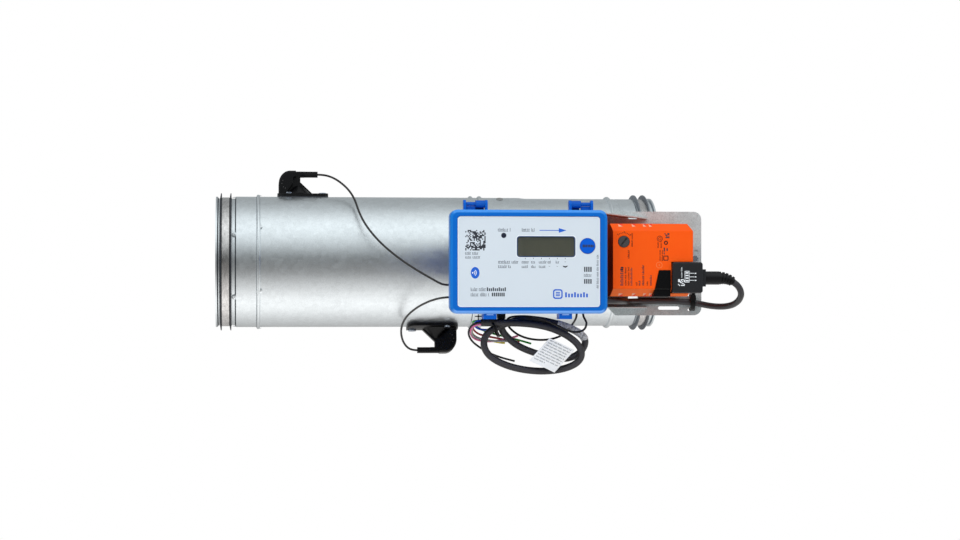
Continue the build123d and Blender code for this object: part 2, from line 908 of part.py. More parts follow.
def controller_base():
    """Open box with standoffs, hinge arms above and the latch catches below."""
    rim_back = lid_back - lid_gap - base_rim
    base = slab(base_outline(0), box_back + 0.02, lid_back - lid_gap)
    rim = Pos(box_middle, box_centre_z) * RectangleRounded(
        box_width - 2, box_height - 2, box_corner - 1
    )
    base += slab(rim, rim_back, lid_back - lid_gap)
    base -= slab(base_outline(base_wall), box_back + base_wall, lid_back + 1)
    for x, z in standoff_places():
        base += round_slab(x, z, standoff_radius, box_back + base_wall - 0.1, board_depth - 0.02)
    for x, z in box_screw_places():
        base -= round_slab(x, z, box_screw_radius + 0.1, box_back - 1, box_back + 8)
    base_top = box_top - base_inset
    for x, inward in hinge_sides():
        near = x + inward * (ear_thickness + pin_bare)
        far = near + inward * knuckle_length
        left, right = min(near, far), max(near, far)
        arm = block(left, right, rim_back - 4, rim_back + 2, base_top - 2, hinge_height)
        arm += block(left, right, rim_back - 4, hinge_depth, hinge_height - 3.2, hinge_height + 2)
        arm += bar_along_duct(left, right, hinge_depth, hinge_height, knuckle_radius)
        base += arm - bar_along_duct(
            left - 1, right + 1, hinge_depth, hinge_height, pin_radius + 0.02
        )
    bottom = box_bottom + base_inset
    catch_half = latch_width / 2 - latch_leg - 0.4
    for x in latch_middles():
        near = lid_back - lid_gap - 2
        base += block(x - catch_half, x + catch_half, near - 10, near, bottom - catch_length, bottom + 1)
    left = box_left + base_inset
    right = box_right - base_inset
    for height in left_gland_heights:
        z = box_bottom + height
        base -= bar_along_duct(left - 3, left + 5, side_gland_depth, z, side_gland_radius)
    z = box_bottom + power_gland_height
    base -= bar_along_duct(right - 5, right + 3, power_gland_depth, z, power_gland_radius)
    base -= upright(gland_at, supply_gland_depth, bottom - 3, bottom + 5, gland_radius - 1)
    for x in signal_gland_places:
        base -= upright(x, bottom_gland_depth, bottom - 3, bottom + 5, signal_gland_radius)
    return base


def cable_glands():
    """Grommets of the sensor, signal and actuator cables, and the gland of the supply cable."""
    left = box_left + base_inset
    right = box_right - base_inset
    bottom = box_bottom + base_inset
    glands = []
    for height in left_gland_heights:
        z = box_bottom + height
        stem = bar_along_duct(left - 1.0, left + 4, side_gland_depth, z, side_gland_radius - 0.05)
        lip = bar_along_duct(left - 1.5, left - 0.02, side_gland_depth, z, side_gland_radius + 1)
        glands.append(stem + lip)
    z = box_bottom + power_gland_height
    stem = bar_along_duct(right - 4, right + 1, power_gland_depth, z, power_gland_radius - 0.05)
    lip = bar_along_duct(right + 0.02, right + 3.0, power_gland_depth, z, power_gland_radius + 0.7)
    glands.append(stem + lip)
    neck = upright(gland_at, supply_gland_depth, bottom - 1, bottom + 4, gland_radius - 1.05)
    nut = upright(gland_at, supply_gland_depth, bottom - 6, bottom - 0.02, gland_radius)
    sleeve = upright(gland_at, supply_gland_depth, bottom - gland_drop, bottom - 6, gland_radius - 0.6)
    glands.append(neck + nut + fillet(sleeve.edges().group_by(Axis.Z)[0], 0.9))
    for x in signal_gland_places:
        stem = upright(x, bottom_gland_depth, bottom - 1, bottom + 4, signal_gland_radius - 0.05)
        lip = upright(x, bottom_gland_depth, bottom - 3.6, bottom - 0.02, signal_gland_radius + 0.5)
        glands.append(stem + lip)
    return glands


def circuit_board():
    """Board on the standoffs with a relay, a radio module and two capacitors."""
    side, edge = board_margin
    size = (box_width - 2 * side, box_height - 2 * edge)
    outline = Pos(box_middle, box_centre_z) * RectangleRounded(*size, board_corner)
    board = slab(outline, board_depth, board_depth + board_thickness)
    top = board_depth + board_thickness
    parts = [(-21, 18, 18, 2.2), (14, 12, 10, 4.0)]
    for offset, width, height, thickness in parts:
        x = box_middle + offset
        z = box_centre_z + 13
        half = width / 2
        board += block(x - half, x + half, top - 0.1, top + thickness, z - height / 2, z + height / 2)
    for offset in (30, 40):
        board += round_slab(box_middle + offset, box_centre_z + 16, 4, top - 0.1, top + 9)
    return board


def terminal_blocks():
    """Screw terminals in a row along the lower edge of the board."""
    top = board_depth + board_thickness + 0.02
    width, height, thickness = terminal_size
    first = box_left + terminal_inset
    pitch = (box_width - 2 * terminal_inset + 4.0) / terminal_count
    low = box_bottom + terminal_low
    middle = low + height / 2
    blocks = []
    for number in range(terminal_count):
        left = first + number * pitch
        body = block(left, left + width, top, top + thickness, low, low + height)
        for pole in range(int(width / terminal_pole_pitch)):
            x = left + (pole + 0.5) * terminal_pole_pitch
            body -= round_slab(x, middle, terminal_screw_radius, top + 6, top + thickness + 1)
            mouth = terminal_screw_radius - 0.1
            body -= block(x - mouth, x + mouth, top + 2, top + 5, low - 1, low + 2)
        blocks.append(body)
    return blocks


def box_screws():
    screws = []
    for x, z in box_screw_places():
        seat = box_back + base_wall + 0.02
        screw = round_slab(x, z, box_screw_radius, box_back - 6, seat + 0.1)
        screw += round_slab(x, z, box_screw_head, seat, seat + 2)
        screws.append(screw)
    return screws


# Lid and what it carries
def panel_outline(play):
    return Pos(box_middle, box_centre_z) * RectangleRounded(
        box_width - 2 * frame_band + 2 * play,
        box_height - 2 * (frame_band - frame_band_trim) + 2 * play,
        panel_corner + play,
    )


def window_outline(play):
    middle = (window_left + window_width / 2, window_bottom + window_height / 2)
    return Pos(*middle) * RectangleRounded(
        window_width + 2 * play, window_height + 2 * play, window_corner + play
    )



def lid_frame():
    """Moulded lid: a rounded frame round a sunk panel seat, with hinge ears and latch clips."""
    outline = Pos(box_middle, box_centre_z) * RectangleRounded(box_width, box_height, box_corner)
    lid = slab(outline, lid_back, box_front)
    lid = fillet(lid.edges().group_by(Axis.Y)[0], box_edge)
    lid -= slab(base_outline(0.5), lid_back - 1, panel_back - lid_wall)
    lid -= slab(panel_outline(panel_play), panel_back, box_front + 1)
    lid -= slab(gasket_groove(0), lid_back - 0.1, lid_back + 1.5)
    lid -= slab(window_outline(0.2), panel_back - lid_wall - 1, panel_back + 1)
    lid -= round_slab(*lens_at, lens_radius + 0.1, panel_back - 4, panel_back + 1)
    lid -= round_slab(*mode_at, mode_radius + mode_hole_play, panel_back - 4, panel_back + 1)
    for x, inward in hinge_sides():
        for start in (x, x + inward * (ear_thickness + pin_bare + knuckle_length + 0.1)):
            near, far = start, start + inward * ear_thickness
            left, right = min(near, far), max(near, far)
            ear = bar_along_duct(left, right, hinge_depth, hinge_height, ear_radius)
            near, far = hinge_depth - 2.6, hinge_depth + ear_radius
            ear += block(left, right, near, far, box_top - 0.3, hinge_height)
            hole = bar_along_duct(
                left - 1, right + 1, hinge_depth, hinge_height, pin_radius + running_play
            )
            lid += ear - hole
    for x in latch_middles():
        lid += latch_clip(x)
    return lid


def latch_clip(x):
    """U-shaped clip under the lid that springs over a catch of the base."""
    half = latch_width / 2
    leg = half - latch_leg
    low = box_bottom - latch_drop
    back = box_front - latch_back
    clip = block(x - half, x + half, back, box_front - latch_front, low, box_bottom + 0.3)
    clip -= block(x - leg, x + leg, back - 6, box_front - 8, low + 1.3, box_bottom + 1)
    return clip - block(x - half - 1, x + half + 1, back - 6, lid_back, box_bottom - 0.4, box_bottom + 1)


def gasket_groove(play):
    middle = Pos(box_middle, box_centre_z)
    outer = RectangleRounded(box_width - 5 - 2 * play, box_height - 5 - 2 * play, box_corner - 2.5)
    inner = RectangleRounded(box_width - 9 + 2 * play, box_height - 9 + 2 * play, box_corner - 4.5)
    return middle * (outer - inner)


def lid_panel():
    panel = slab(panel_outline(0), panel_back + 0.02, panel_back + panel_thickness)
    panel -= slab(window_outline(0.1), panel_back - 1, box_front)
    panel -= round_slab(*lens_at, lens_radius + 0.1, panel_back - 1, box_front)
    return panel - round_slab(*mode_at, mode_radius + mode_hole_play, panel_back - 1, box_front)


def lid_gasket():
    return slab(gasket_groove(0.15), lid_back + 0.02, lid_back + 1.45)


def display_window():
    return slab(window_outline(0), panel_back - 1.2, panel_back + panel_thickness - 0.1)


def display_module():
    """Display glass behind the window, on its own little board."""
    wall = panel_back - lid_wall
    middle = Pos(window_left + window_width / 2, window_bottom + window_height / 2)
    module = slab(middle * Rectangle(*display_board), wall - 3.4, wall - 1.8)
    module += slab(middle * Rectangle(*display_glass), wall - 1.9, wall - 0.1)
    return module + slab(middle * Rectangle(*display_face), wall - 0.2, panel_back - 1.3)


def status_lens():
    wall = panel_back - lid_wall
    lens = round_slab(*lens_at, lens_radius, wall - 1.2, panel_back + panel_thickness)
    return lens + round_slab(*lens_at, lens_radius + 0.9, wall - 1.2, wall - 0.05)


def mode_button():
    """Round key with a flange behind the lid wall, free to travel inwards."""
    wall = panel_back - lid_wall
    key = round_slab(*mode_at, mode_radius, wall - 1.8, box_front - 0.4)
    key = fillet(key.edges().group_by(Axis.Y)[0], 0.6)
    key += round_slab(*mode_at, mode_flange, wall - 1.8, wall - 0.3)
    return key + round_slab(*mode_at, 2.5, wall - 4.4, wall - 1.7)


def hinge_pins():
    pins = []
    for x, inward in hinge_sides():
        far = x + inward * (2 * ear_thickness + pin_bare + knuckle_length + 0.1)
        left, right = min(x, far), max(x, far)
        pins.append(bar_along_duct(left, right, hinge_depth, hinge_height, pin_radius))
    return pins


# Actuator
def release_outline(play):
    """Wedge of the gear release, wider towards the lower edge of the housing."""
    upper_left, upper_right = release_upper
    lower_left, lower_right = release_lower
    points = [
        (plug_left - upper_left - play, release_top + play),
        (plug_left - upper_right + play, release_top + play),
        (plug_left - lower_right + play, release_bottom - 1),
        (plug_left - lower_left - play, release_bottom - 1),
    ]
    return make_face(Polyline(*points, close=True))


def long_bevel(side):
    """The prism cut from a long front edge of the actuator."""
    edge = actuator_top if side > 0 else actuator_bottom
    points = [
        (-actuator_front - 1, edge - side * (bevel_height + 0.7)),
        (-actuator_front - 1, edge + side * 2),
        (-actuator_front + bevel_depth + 2.9, edge + side * 2),
    ]
    prism = make_face(Polyline(*points, close=True))
    return Pos(actuator_left - 20, 0, 0) * extrude(Plane.YZ * prism, actuator_length + 40)


def actuator_housing():
    """Moulded gear housing: low at the clamp end, tall and bevelled over the motor."""
    foot = actuator_back
    left = actuator_left
    side = make_face(
        Polyline(
            (left, -foot),
            (left, -clamp_end_front),
            (tall_left, -clamp_end_front),
            (tall_left_front, -actuator_front),
            (actuator_right, -actuator_front),
            (actuator_right, -foot),
            close=True,
        )
    )
    body = Pos(0, 0, actuator_bottom) * extrude(side, actuator_top - actuator_bottom)
    low_end = body.edges().filter_by(Axis.Y).group_by(Axis.X)[0]
    body = fillet(low_end, end_round)
    for edge in (-1, 1):
        body -= long_bevel(edge)
        corner = actuator_top if edge > 0 else actuator_bottom
        points = [
            (actuator_right - end_bevel, corner + edge * 0.5),
            (actuator_right + 1, corner + edge * 0.5),
            (actuator_right + 1, corner - edge * (bevel_height + 1)),
            (actuator_right, corner - edge * bevel_height),
        ]
        body -= slab(make_face(Polyline(*points, close=True)), foot - 1, actuator_front + 1)
        for offset, width in notch_places:
            x = tall_left + offset
            low = min(corner - edge * notch_sink, corner + edge)
            high = max(corner - edge * notch_sink, corner + edge)
            near, far = plate_front + notch_back, plate_front + notch_front
            body -= block(x - width / 2, x + width / 2, near, far, low, high)
    pocket = Pos(plug_left + plug_size / 2, plug_top - plug_size / 2) * Rectangle(
        plug_size + 0.6, plug_size + 0.6
    )
    body -= slab(pocket, plug_back - 0.02, actuator_front + 1)
    knob_floor = actuator_front - knob_depth - 0.3
    body -= round_slab(*knob_at, knob_radius + knob_play, knob_floor, actuator_front + 1)
    body -= round_slab(*knob_at, knob_stem + running_play, knob_floor - 4.5, knob_floor + 1)
    floor = actuator_front - release_depth - release_stroke - 1
    body -= slab(release_outline(release_play), floor, actuator_front + 1)
    body -= round_slab(shaft_at, 0, clamp_hub_radius + 0.3, foot - 1, clamp_end_front + 1)
    front = plate_front + tab_lift
    gap = 0.3
    pocket = (front - plate_thickness - gap, front + gap, tab_bottom - 1, tab_top + 1)
    return body - block(actuator_right - tab_grip - 1, actuator_right + 1, *pocket)


def actuator_base():
    """Back plate of the actuator, flat on the mounting plate."""
    middle = (actuator_left + actuator_right) / 2
    centre = (actuator_top + actuator_bottom) / 2
    height = actuator_top - actuator_bottom - 2
    outline = Pos(middle, centre) * RectangleRounded(actuator_length - 2, height, end_round)
    base = slab(outline, plate_front + 0.02, actuator_back - 0.02)
    for x, z in saddle_rivet_places():
        base -= round_slab(x, z, rivet_head + 0.5, plate_front - 1, plate_front + rivet_dome + 0.4)
    return base - round_slab(shaft_at, 0, clamp_hub_radius + 0.3, plate_front - 1, actuator_back + 1)


def direction_knob():
    floor = actuator_front - knob_depth
    knob = round_slab(*knob_at, knob_radius, floor, actuator_front + 0.4)
    knob = fillet(knob.edges().group_by(Axis.Y)[0], 0.4)
    knob += round_slab(*knob_at, knob_stem, floor - 4.3, floor + 0.2)
    slot = Pos(*knob_at) * Rot(0, 0, 52) * SlotOverall(*knob_slot)
    return knob - slab(slot, actuator_front - 1.2, actuator_front + 2)


def release_button():
    """Sliding wedge of the gear release, with its thumb step at the lower edge."""
    back = actuator_front - release_depth
    left, right = plug_left - 2 * release_lower[0], plug_left + release_lower[0]
    button = slab(release_outline(0), back, actuator_front + 0.8)
    button -= block(left, right, back - 6, actuator_front + 7, release_bottom - 5, release_bottom)
    button -= block(left, right, actuator_front - 1.4, actuator_front + 7, release_bottom - 1, release_step)
    below = block(left, right, back - 6, actuator_front + 7, release_bottom - 25, actuator_bottom)
    return button - (long_bevel(-1) & below)


def shaft_clamp():
    """Hub and clamp shoe that grip the shaft and turn with it."""
    hub = Circle(clamp_hub_radius) - Circle(shaft_radius + 0.02)
    clamp = slab(Pos(shaft_at, 0) * hub, plate_front + 2, clamp_end_front + 0.6)
    shoe = Pos(shaft_at - clamp_shoe_offset, 0) * Rectangle(*clamp_shoe)
    shoe -= Pos(shaft_at, 0) * Circle(shaft_radius + 0.9)
    clamp += slab(shoe, clamp_end_front + 0.5, clamp_rod_depth + 2 * clamp_rod)
    reach = shaft_radius + 0.05 + clamp_rod
    far = shaft_at - clamp_rod_reach - 3
    for z in (-reach, reach):
        clamp -= bar_along_duct(far, shaft_at, clamp_rod_depth, z, clamp_rod + 0.05)
    return clamp



def clamp_bolt():
    """U-bolt round the shaft with its two nuts behind the shoe."""
    rod = clamp_rod
    reach = shaft_radius + 0.05 + rod
    depth = clamp_rod_depth
    far = shaft_at - clamp_rod_reach
    path = Line((far, -depth, reach), (shaft_at, -depth, reach))
    bow = ThreePointArc(
        (shaft_at, -depth, reach), (shaft_at + reach, -depth, 0), (shaft_at, -depth, -reach)
    )
    back = Line((shaft_at, -depth, -reach), (far, -depth, -reach))
    wire_path = Wire([path, bow, back])
    bolt = sweep(Plane(origin=path @ 0, z_dir=path % 0) * Circle(rod), path=wire_path)
    for z in (-reach, reach):
        nut = extrude(RegularPolygon(clamp_nut[0], 6), clamp_nut[1])
        bolt += Pos(far + 0.8, -depth, z) * Rot(0, 90, 0) * nut
    return bolt


def anti_rotation_tab():
    """Bent strap from the plate into the end of the actuator."""
    seat = plate_front + 0.02
    front = plate_front + tab_lift
    heights = (tab_bottom, tab_top)
    tab = block(tab_left, tab_right, seat, plate_front + plate_thickness, *heights)
    tab += block(tab_left, tab_left + plate_thickness, seat, front, *heights)
    reach = actuator_right - tab_grip
    tab += block(reach, tab_left + plate_thickness, front - plate_thickness, front, *heights)
    z, length, width = tab_slot
    slot = Pos(tab_screw_at[0], z) * SlotOverall(length, width)
    tab -= slab(slot, plate_front - 1, plate_front + 3)
    x, z = tab_screw_at
    return tab - round_slab(x, z, tab_screw_radius + rivet_play, plate_front - 5, plate_front + 3)


def tab_screw():
    x, z = tab_screw_at
    seat = plate_front + 1.22
    screw = round_slab(x, z, tab_screw_radius, plate_front - 4, seat + 0.1)
    head = slab(Pos(x, z) * RegularPolygon(hex_radius, 6), seat, seat + hex_height)
    return screw + head


# Plug on the actuator
def plug_housing():
    middle = (plug_left + plug_size / 2, plug_top - plug_size / 2)
    plug = slab(Pos(*middle) * RectangleRounded(plug_size, plug_size, plug_corner), plug_back, plug_front)
    plug = fillet(plug.edges().group_by(Axis.Y)[0], plug_edge)
    near, far = boot_axis_depth - collar_half, boot_axis_depth + collar_half
    low, high = boot_axis_z - collar_half, boot_axis_z + collar_half
    return plug + block(plug_right - 1, plug_right + collar_length, near, far, low, high)


def plug_boot():
    """Neck and ribbed bending guard, whose ribs droop and taper to the cable."""
    start = plug_right + collar_length + 0.02
    boot = bar_along_duct(start, start + boot_neck, boot_axis_depth, boot_axis_z, boot_neck_radius)
    for rib in range(boot_ribs):
        radius = 6.0 - rib * 0.35
        place = rib_place(rib)
        boot += place * Pos(0, 0, 0.75) * Cylinder(radius, 1.7)
        boot += place * Pos(0, 0, boot_pitch / 2) * Cylinder(radius - 1.3, boot_pitch + 0.2)
    return boot


def rib_place(rib):
    """Where a rib starts, with local Z along the guard, which turns down a little at each rib."""
    start = plug_right + collar_length + 0.02 + boot_neck
    place = Pos(start, -boot_axis_depth, boot_axis_z) * Rot(0, 90, 0)
    for _ in range(rib):
        place = place * Pos(0, 0, boot_pitch) * Rot(0, boot_droop, 0)
    return place


def boot_exit(beyond):
    """A point on the axis of the guard, a little beyond its end."""
    place = rib_place(boot_ribs - 1) * Pos(0, 0, boot_pitch + 0.1 + beyond)
    point = place.position
    return (point.X, -point.Y, point.Z)


# Cables, each along runs joined by arcs as wide as the runs allow
def cord(name, points, diameter):
    corners = [Vector(x, -depth, z) for x, depth, z in points]
    runs = [end - start for start, end in zip(corners, corners[1:])]
    radii = []
    for before, after in zip(runs, runs[1:]):
        turn = math.radians(before.get_angle(after))
        radii.append(0.45 * min(before.length, after.length) / math.tan(turn / 2))
    path = FilletPolyline(*corners, radius=radii)
    section = Plane(origin=path @ 0, z_dir=path % 0) * Circle(diameter / 2)
    tube = sweep(section, path=path)
    expected = math.pi * (diameter / 2) ** 2 * path.length
    print(
        f"{name}: length {path.length:.1f}, tightest {min(radii) / diameter:.1f} diameters,"
        f" volume ratio {tube.volume / expected:.4f}"
    )
    return tube


exit_radius = sensor_top - boot_width / 2
exit_behind = -exit_radius * math.sin(math.radians(sensor_tilt))
exit_height = exit_radius * math.cos(math.radians(sensor_tilt))
exit_reach = boot_start + boot_length + 0.02
top_exit = sensor_at + exit_reach
bottom_exit = sensor_at + duct_diameter - exit_reach
box_entry = box_left + base_inset - 1.52
top_sensor_route = [
    (top_exit, exit_behind, exit_height),
    (top_exit + 6.0, exit_behind, exit_height),
    (top_exit + 14.0, -7.0, 82.9),
    (119.5, 6.5, 77.6),
    (126.6, 23.0, 69.9),
    (131.9, 38.5, 60.2),
    (135.4, 55.0, 46.2),
    (141.2, 70.0, 33.0),
    (152.3, 84.0, 18.3),
    (166.3, 98.0, 4.9),
    (183.3, 111.5, -7.7),
    (198.6, 122.5, -17.0),
    (206.6, 126.8, -21.8),
    (box_entry - 4.4, side_gland_depth, box_bottom + left_gland_heights[0]),
    (box_entry, side_gland_depth, box_bottom + left_gland_heights[0]),
]
bottom_sensor_route = [
    (bottom_exit, -exit_behind, -exit_height),
    (bottom_exit - 6.5, -exit_behind, -exit_height),
    (180.6, 20.4, -79.4),
    (176.8, 32.0, -70.0),
    (176.6, 46.5, -60.6),
    (180.4, 63.0, -51.6),
    (188.6, 82.0, -43.6),
    (197.6, 102.0, -38.2),
    (205.2, 118.5, -35.4),
    (box_entry - 4.0, side_gland_depth, box_bottom + left_gland_heights[1]),
    (box_entry, side_gland_depth, box_bottom + left_gland_heights[1]),
]
power_entry = box_right - base_inset + 3.06
actuator_route = [
    boot_exit(0.02),
    boot_exit(5.0),
    (488.9, 127.5, -30.6),
    (488.4, 118.5, -37.4),
    (484.2, 108.4, -41.8),
    (476.6, 99.0, -43.4),
    (467.0, 89.2, -42.6),
    (457.8, 81.4, -40.4),
    (447.0, 80.4, -38.8),
    (432.0, 80.4, -38.0),
    (416.0, 80.6, -37.7),
    (401.5, 80.8, -38.2),
    (386.2, 92.5, -38.4),
    (380.4, 110.8, -38.0),
    (365.6, power_gland_depth, -37.4),
    (power_entry, power_gland_depth, box_bottom + power_gland_height),
]
signal_entry = box_bottom + base_inset - 3.62
signal_route = [
    (signal_gland_places[0], bottom_gland_depth, signal_entry),
    (signal_gland_places[0], bottom_gland_depth, signal_entry - 4.4),
    (331.8, 127.6, -55.4),
    (330.6, 120.6, -58.8),
    (325.6, 117.8, -66.8),
    (316.4, 118.0, -72.0),
    (304.6, 118.2, -74.2),
    (291.6, 118.0, -73.4),
    (281.0, 118.2, -70.0),
    (273.6, 118.0, -64.8),
    (268.6, 117.6, -58.4),
    (270.0, 119.6, -53.0),
    (279.0, 125.2, -51.6),
    (291.0, 132.4, -52.0),
    (302.6, 138.4, -54.8),
    (312.6, 139.0, -60.0),
    (322.2, 139.0, -64.9),
    (331.6, 139.0, -67.0),
    (339.0, 138.6, -64.4),
    (341.2, 137.2, -58.6),
    (340.2, 135.6, -55.4),
    (signal_gland_places[1], bottom_gland_depth, signal_entry - 4.2),
    (signal_gland_places[1], bottom_gland_depth, signal_entry),
]
sheath_end = 243.4
tail_inner_end = 262.0
tail_depth = 133.6
tail_z = -57.6
wire_routes = {
    "black": [
        (sheath_end - 0.02, 135.6, -57.6),
        (sheath_end - 4.6, 135.6, -57.6),
        (233.8, 131.6, -61.0),
        (232.2, 125.0, -67.6),
        (236.0, 120.0, -74.8),
        (243.6, 118.6, -80.6),
        (252.0, 118.2, -85.6),
        (261.0, 118.5, -89.2),
        (269.2, 118.2, -91.7),
        (276.5, 118.4, -93.5),
    ],
    "pink": [
        (sheath_end - 0.02, 134.6, -59.3),
        (sheath_end - 4.6, 134.6, -59.3),
        (234.6, 130.6, -62.6),
        (234.8, 123.4, -68.2),
        (238.4, 118.2, -72.6),
        (245.6, 116.6, -74.8),
        (255.5, 116.4, -75.4),
        (265.2, 116.6, -73.8),
        (274.6, 116.4, -71.7),
        (279.8, 116.6, -70.1),
    ],
    "yellow": [
        (sheath_end - 0.02, 132.6, -59.3),
        (sheath_end - 4.6, 132.6, -59.3),
        (235.6, 128.4, -62.6),
        (236.2, 121.6, -67.6),
        (240.6, 116.6, -71.2),
        (247.4, 114.8, -73.6),
        (256.2, 114.6, -75.0),
        (263.2, 114.8, -76.4),
        (267.7, 114.6, -76.8),
    ],
    "dark_red": [
        (sheath_end - 0.02, 131.6, -57.6),
        (sheath_end - 4.6, 131.6, -57.6),
        (236.2, 127.2, -60.6),
        (237.8, 120.4, -64.6),
        (242.6, 114.8, -68.2),
        (249.2, 113.0, -70.2),
        (257.0, 112.8, -71.6),
        (265.4, 113.0, -73.2),
        (273.8, 112.8, -75.0),
        (281.6, 113.0, -75.9),
    ],
    "green": [
        (sheath_end - 0.02, 132.6, -55.9),
        (sheath_end - 4.6, 132.6, -55.9),
        (236.0, 127.6, -57.0),
        (238.2, 119.4, -60.0),
        (245.4, 112.4, -64.2),
        (252.2, 111.2, -66.6),
        (260.4, 111.4, -69.0),
        (270.4, 111.2, -71.4),
        (282.3, 111.4, -74.4),
        (292.8, 111.2, -77.5),
    ],
}


def cable_ties():
    """One tie holds the actuator cable to the plate, the other holds the coil together."""
    back = plate_back - 0.1 - tie_thickness
    front = plate_front + power_cable + 1.4 + tie_thickness
    size = (front - back, tie_slot_top - tie_slot_bottom + tie_thickness)
    loop = RectangleRounded(*size, 2.2)
    loop -= RectangleRounded(size[0] - 2 * tie_thickness, size[1] - 2 * tie_thickness, 1.2)
    middle = Pos(-(front + back) / 2, (tie_slot_top + tie_slot_bottom) / 2)
    plate_tie = extrude(Plane.YZ * middle * loop, tie_width)
    ring_back = coil_back - 2.2
    ring_front = coil_back + coil_thickness + 2.2
    depth = ring_front - ring_back
    strap = RectangleRounded(depth, 25.4, 3.2) - RectangleRounded(depth - 2, 23.4, 2.4)
    coil_tie = extrude(Plane.YZ * Pos(-(ring_front + ring_back) / 2, -65.2) * strap, coil_tie_width)
    return [Pos(tie_at - tie_width / 2, 0, 0) * plate_tie, Pos(coil_tie_at, 0, 0) * coil_tie]


def supply_coil():
    """The outer shape of the two loose turns below the controller."""
    outer = Ellipse(coil_half_width, coil_half_height)
    inner = Ellipse(coil_half_width - coil_band, coil_half_height - coil_band)
    ring_face = Pos(*coil_centre) * Rot(0, 0, -3) * (outer - inner)
    return slab(ring_face, coil_back, coil_back + coil_thickness)


def cable_tag():
    """Paper tag that hangs on the coil."""
    front = coil_back + coil_thickness + 0.2
    return slab(make_face(Polyline(*tag_corners, close=True)), front, front + tag_thickness)


# Write every node
save("measuring_tube", measuring_tube() - [tube_rivet_hole(*place) for place in joint_rivet_places()])
damper = damper_tube()
for place in joint_rivet_places() + foot_rivet_places():
    damper -= tube_rivet_hole(*place)
save("damper_tube", damper)
save("inlet_gasket", lip_gasket(0, 1, inlet_lip_inset))
save("outlet_gasket", lip_gasket(overall_length, -1, outlet_lip_inset))
save("inlet_gasket_strap", gasket_strap(0, 1, inlet_lip_inset))
save("outlet_gasket_strap", gasket_strap(overall_length, -1, outlet_lip_inset))
for side, place in (("top", sensor_at), ("bottom", sensor_at + duct_diameter)):
    frame = sensor_frame(place)
    save(f"{side}_sensor_seal", frame * sensor_seal())
    save(f"{side}_sensor_housing", frame * sensor_housing())
    save(f"{side}_transducer", frame * transducer())
    save(f"{side}_sensor_boot", frame * sensor_boot())
save(
    "sensor_screws",
    *[sensor_frame(place) * s for place in (sensor_at, sensor_at + duct_diameter) for s in sensor_fixings()],
)
save("front_shaft_bush", shaft_bush(1))
save("rear_shaft_bush", shaft_bush(-1))
save("blade_upper_disc", blade_sheet_disc(1))
save("blade_lower_disc", blade_sheet_disc(-1))
save("blade_seal", blade_seal())
save("blade_rivets", *blade_rivets())
save("blade_shaft", blade_shaft())
save("shaft_clamp", shaft_clamp())
save("clamp_bolt", clamp_bolt())

saddles = [saddle(x) for x in saddle_centres()]
saddles = [hat - [tube_rivet_hole(*place) for place in foot_rivet_places()] for hat in saddles]
save("plate_saddles", *saddles)
rivets = [tube_rivet(x, angle, spigot_radius + socket_play + steel) for x, angle in joint_rivet_places()]
rivets += [tube_rivet(x, angle, spigot_radius + 0.05 + plate_thickness) for x, angle in foot_rivet_places()]
for x, z in saddle_rivet_places():
    shank = round_slab(x, z, rivet_radius, plate_front - 3.4, plate_front + 0.2)
    rivets.append(shank + round_slab(x, z, rivet_head, plate_front + 0.02, plate_front + rivet_dome))
save("blind_rivets", *rivets)
save("mounting_plate", mounting_plate())
save("controller_shelf", controller_shelf())
save("controller_base", controller_base())
save("controller_screws", *box_screws())
save("cable_glands", *cable_glands())
save("circuit_board", circuit_board())
save("terminal_blocks", *terminal_blocks())
save("hinge_pins", *hinge_pins())
save("lid_frame", lid_frame())
save("lid_panel", lid_panel())
save("lid_gasket", lid_gasket())
save("display_window", display_window())
save("display_module", display_module())
save("status_lens", status_lens())
save("mode_button", mode_button())
save("actuator_base", actuator_base())
save("actuator_housing", actuator_housing())
save("direction_knob", direction_knob())
save("release_button", release_button())
save("anti_rotation_tab", anti_rotation_tab())
save("tab_screw", tab_screw())
save("plug_housing", plug_housing())
save("plug_boot", plug_boot())
save("top_sensor_cable", cord("top sensor cable", top_sensor_route, sensor_cable))
save("bottom_sensor_cable", cord("bottom sensor cable", bottom_sensor_route, sensor_cable))
save("actuator_cable", cord("actuator cable", actuator_route, power_cable))
save("signal_cable", cord("signal cable", signal_route, sensor_cable))
gland_end = box_bottom + base_inset - gland_drop - 0.02
save("supply_lead", upright(gland_at, supply_gland_depth, gland_end - 4.4, gland_end, supply_cable / 2))
save("supply_tail", bar_along_duct(sheath_end, tail_inner_end, tail_depth, tail_z, supply_cable / 2))
save("supply_coil", supply_coil())
save("lead_wires", *[cord(f"{colour} wire", route, wire) for colour, route in wire_routes.items()])
save("cable_ties", *cable_ties())
save("cable_tag", cable_tag())
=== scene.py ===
import json
import math

import bmesh
import bpy
from mathutils import Matrix, Vector


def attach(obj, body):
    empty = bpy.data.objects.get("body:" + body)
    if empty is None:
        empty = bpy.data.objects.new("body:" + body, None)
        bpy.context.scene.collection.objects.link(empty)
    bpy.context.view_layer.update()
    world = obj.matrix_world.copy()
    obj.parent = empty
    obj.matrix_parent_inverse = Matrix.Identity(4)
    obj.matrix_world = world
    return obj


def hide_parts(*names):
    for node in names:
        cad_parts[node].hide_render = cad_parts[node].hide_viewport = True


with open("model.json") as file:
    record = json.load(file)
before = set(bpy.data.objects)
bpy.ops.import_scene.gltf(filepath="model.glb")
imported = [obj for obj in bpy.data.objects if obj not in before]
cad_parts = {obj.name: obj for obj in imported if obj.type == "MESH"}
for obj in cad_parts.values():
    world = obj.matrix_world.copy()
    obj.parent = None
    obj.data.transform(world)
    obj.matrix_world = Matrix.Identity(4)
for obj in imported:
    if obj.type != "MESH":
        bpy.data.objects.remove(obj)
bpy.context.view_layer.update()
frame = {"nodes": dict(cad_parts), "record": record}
record = frame["record"]
scene = bpy.context.scene

MM = 0.001


